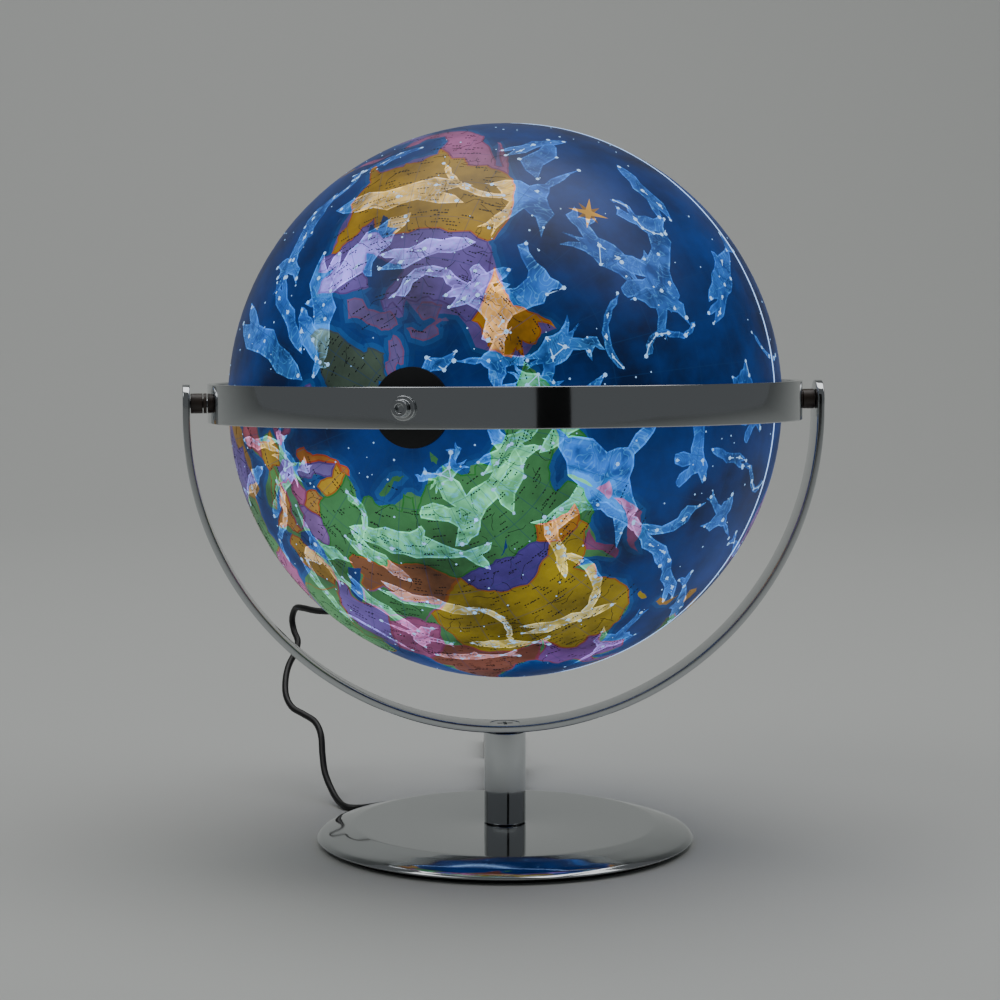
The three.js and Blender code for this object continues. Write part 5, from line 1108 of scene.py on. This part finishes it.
def hexBlank(across, low, high, direction, origin):
    chamfer = across * 0.5 + 0.25
    profile = [(0, low), (chamfer, low), (across * 0.6, low + 0.4), (across * 0.6, high - 0.4),
               (chamfer, high), (0, high)]
    verts, faces = turnedMesh(profile, 48, direction, origin)
    turn = up.rotation_difference(direction).to_matrix()
    flats = []
    for k in range(6):
        outward = turn @ Vector((math.cos(math.radians(60 * k)), math.sin(math.radians(60 * k)), 0))
        middle = origin + (turn @ Vector((0, 0, (low + high) / 2)) + outward * (across / 2 + 5)) * mm
        side = turn @ up.cross(turn.inverted() @ outward)
        corners = [middle + (outward * 5 * i + side * 12 * j + direction * 6 * k2) * mm
                   for i in (-1, 1) for j in (-1, 1) for k2 in (-1, 1)]
        flats.append((corners, [[0, 1, 3, 2], [4, 6, 7, 5], [0, 4, 5, 1], [2, 3, 7, 6], [0, 2, 6, 4],
                                [1, 5, 7, 3]]))
    return verts, faces, flats


nutVerts, nutFaces, nutCuts = hexBlank(13, 134.3, 137.1, -north, globeCentre)
nutCuts.append(rod(4.7, 130, 140, 40, -north, globeCentre))
meshPiece("back_nut", *cutMesh(nutVerts, nutFaces, nutCuts), chrome, "ring", "chrome",
          ("south_outer_nut",), sharpAngle=25)

relief = [(1.75, 139.35), (5.4, 139.35), (5.4, 141.6), (4.4, 142.2)]
for i in range(6):
    at, wide = 142.6 + 2.6 * i, 4.4 - 0.36 * i
    relief += [(wide, at), (wide, at + 1.5), (wide - 1, at + 1.75), (wide - 1, at + 2.4)]
relief += [(2.6, 158.2), (2.5, 159.2), (1.75, 159.2), (1.75, 139.35)]
reliefPiece = meshPiece("relief_sleeve", *turnedMesh(rounded(relief, 0.25, 2), 40, -north, globeCentre),
                        cordPvc, "ring", "cord_rubber", ("cord_strain_relief",))

# Pivots

for side, outward in (("left", -right), ("right", right)):
    pivot = globeCentre
    screw = [(0, 127.2), (2, 127.2), (2, 143.1), (3.8, 144.7), (3.8, 144.9), (1.5, 144.9), (1.5, 143.8),
             (0, 143.8)]
    meshPiece(f"{side}_screw", *turnedMesh(rounded(screw, 0.12, 2), 48, outward, pivot), chrome, "stand",
              "chrome", (f"{side}_pivot_screw",))
    spacer = [(2.3, 136.1), (4.5, 136.1), (4.5, 141.5), (2.3, 141.5), (2.3, 136.1)]
    meshPiece(f"{side}_spacer", *turnedMesh(rounded(spacer, 0.35), 48, outward, pivot), brownNylon,
              "stand", "nylon", (f"{side}_pivot_spacer",))
    washer = [(2.3, 134.3), (4.5, 134.3), (4.5, 135.8), (2.3, 135.8), (2.3, 134.3)]
    meshPiece(f"{side}_washer", *turnedMesh(rounded(washer, 0.25), 48, outward, pivot), brownNylon,
              "stand", "nylon", (f"{side}_pivot_washer",))

# Bow: a strip swept along half a circle, with straight rounded ends

bow = {"inner": 141.8, "outer": 145, "halfWidth": 8.5, "centre": 197, "pivot": 203, "edge": 0.5}


def bowMesh():
    # stations: middle of the strip, its outward direction, half width
    middle = (bow["inner"] + bow["outer"]) / 2
    stations = []
    for k in range(161):
        angle = -math.pi + math.pi * k / 160
        outward = Vector((math.cos(angle), 0, math.sin(angle)))
        stations.append((Vector((0, 0, bow["centre"])) + outward * middle, outward, bow["halfWidth"]))

    def end(sign):
        found = [(Vector((sign * middle, 0, bow["centre"] + 2 * k)), Vector((sign, 0, 0)), bow["halfWidth"])
                 for k in (1, 2, 3)]
        for k in range(1, 25):
            angle = math.radians(88) * k / 24
            found.append((Vector((sign * middle, 0, bow["pivot"] + bow["halfWidth"] * math.sin(angle))),
                          Vector((sign, 0, 0)), bow["halfWidth"] * math.cos(angle)))
        return found

    stations = end(-1)[::-1] + stations + end(1)
    half = (bow["outer"] - bow["inner"]) / 2
    verts, faces = [], []
    for centre, outward, width in stations:
        edge = min(bow["edge"], width * 0.6)
        loop = []
        for cornerX, cornerY, start in ((half, width, 0), (-half, width, 90), (-half, -width, 180),
                                        (half, -width, 270)):
            for k in range(5):
                angle = math.radians(start + 90 * k / 4)
                x = cornerX - math.copysign(bow["edge"], cornerX) + bow["edge"] * math.cos(angle)
                y = cornerY - math.copysign(edge, cornerY) + edge * math.sin(angle)
                loop.append((x, y))
        verts += [(centre + outward * x + Vector((0, y, 0))) * mm for x, y in loop]
    count = 20
    for i in range(len(stations) - 1):
        for k in range(count):
            j = (k + 1) % count
            faces.append([i * count + k, i * count + j, (i + 1) * count + j, (i + 1) * count + k])
    faces.append(list(range(count))[::-1])
    faces.append(list(range(len(verts) - count, len(verts))))
    return verts, faces


sinks = []
for outward in (-right, right):
    sinks.append(turnedMesh([(0, 140), (2.3, 140), (2.3, 142.9), (4.1, 145), (4.1, 147), (0, 147)], 48,
                            outward, globeCentre))
sinks.append(turnedMesh([(0, 50), (3.3, 50), (3.3, 51.9), (6.8, 55.1), (6.8, 58), (0, 58)], 48))
bowVerts, bowFaces = bowMesh()
meshPiece("bow_strip", *cutMesh(bowVerts, bowFaces, sinks), chrome, "stand", "chrome", ("support_bow",))

# Post and base

post = {"bore": 7.7, "radius": 9.5, "foot": 9.5, "top": 51.7, "edge": 0.35, "sides": 128}
postProfile = [(post["bore"], post["foot"]), (post["radius"], post["foot"]), (post["radius"], post["top"]),
               (post["bore"], post["top"]), (post["bore"], post["foot"])]
meshPiece("post_sleeve", *turnedMesh(rounded(postProfile, post["edge"]), post["sides"]), chrome, "stand", "chrome",
          ("post_tube",))

coverProfile = [(3.3, 6.9), (66, 6.9), (79.6, 4.2), (81.6, 2.8), (82.2, 2.2), (85.1, 2.2), (86.03, 2.5),
                (86.5, 3.2), (84.7, 4.9), (81.5, 6.1), (75, 7.9), (69, 9.2), (3.3, 9.2), (3.3, 6.9)]
meshPiece("base_shell", *turnedMesh(rounded(coverProfile, 1.2, 4), 256), chrome, "stand", "chrome",
          ("base_cover",), sharpAngle=60)
pad = {"radius": 81, "height": 1.7, "edge": 0.3, "sides": 128}
padProfile = [(0, 0), (pad["radius"], 0), (pad["radius"], pad["height"]), (0, pad["height"])]
meshPiece("foam_pad", *turnedMesh(rounded(padProfile, pad["edge"], 3), pad["sides"]), cellFoam, "stand", "foam",
          ("base_pad",))
print("metal pieces made")

# CAD nodes that keep their own shape

finishes = {
    "base_weight": castIron, "post_bolt_washer": zincSteel, "post_bolt": zincSteel,
    "post_bottom_plug": zincSteel, "post_top_plug": zincSteel, "bow_screw": chrome,
    "left_pivot_nut": zincSteel, "right_pivot_nut": zincSteel,
    "north_star_film": starFilm, "south_star_film": starFilm,
    "north_pole_nut": zincSteel, "south_hollow_stud": zincSteel, "south_inner_nut": zincSteel,
    "lamp_stem": whitePlastic, "lamp_holder": whitePlastic, "led_board": boardMask,
    "led_diffuser": diffuserPlastic, "lamp_lead": cordPvc, "cord_in_relief": cordPvc,
    "hank_tie": blackPlastic,
    "switch_lower_shell": blackPlastic, "switch_upper_shell": blackPlastic,
    "switch_rocker": whitePlastic, "plug_overmould": blackPlastic, "plug_shell": nickelShell,
    "plug_tongue": whitePlastic,
}
for name, finish in finishes.items():
    nodes[name].data.materials.clear()
    nodes[name].data.materials.append(finish)

# Floor and light


def plainSurface(name, colour, roughness):
    return newMaterial(name, {"Base Color": linear(colour), "Roughness": roughness})[0]


# Pale sweep: flat under the object, then curved up far behind it.
def sweepMesh():
    verts, faces = [], []
    profile = [(-3.0, 0), (1.2, 0)]
    profile += [(1.2 + 0.9 * math.sin(a), 0.9 * (1 - math.cos(a))) for a in np.linspace(0.1, math.pi / 2, 16)]
    profile += [(2.1, 4)]
    for y, z in profile:
        verts += [(-4, y, z), (4, y, z)]
    for i in range(len(profile) - 1):
        faces.append([2 * i, 2 * i + 1, 2 * i + 3, 2 * i + 2])
    return verts, faces


floorPaper = plainSurface("matt paper, pale grey studio sweep", "#c9cbc8", 0.62)
floor = meshPiece("floor", *sweepMesh(), floorPaper, None, None, sharpAngle=80)


def softLight(name, place, target, size, power, colour="#ffffff"):
    data = bpy.data.lights.new(name, "AREA")
    data.shape, data.size, data.size_y = "RECTANGLE", size[0], size[1]
    data.energy, data.color = power, linear(colour)[:3]
    made = bpy.data.objects.new(name, data)
    made.location = place
    made.rotation_euler = (Vector(place) - Vector(target)).to_track_quat("Z", "Y").to_euler()
    bpy.context.scene.collection.objects.link(made)
    return made


softLight("light_top", (0.1, 0.3, 2.2), (0, 0.1, 0), (2.2, 1.6), 24)
softLight("light_left", (-1.5, -0.7, 2.1), (0, 0, 0.2), (1.4, 1.0), 8)
softLight("light_right", (1.6, -0.5, 2.1), (0, 0, 0.2), (1.2, 1.0), 6)

# Black card beside the camera: it gives the chrome its dark bands.
cardVerts = [(x, -2.0, z) for x in (0.2, 0.66) for z in (0, 1.5)]
card = meshPiece("black_card", cardVerts, [[0, 1, 3, 2]], plainSurface("matt card, black", "#060606", 0.9),
                 None, None)
card.visible_camera = False
world = bpy.data.worlds.new("world")
world.use_nodes = True
world.node_tree.nodes["Background"].inputs["Color"].default_value = linear("#8f9294")
world.node_tree.nodes["Background"].inputs["Strength"].default_value = 0.42
bpy.context.scene.world = world
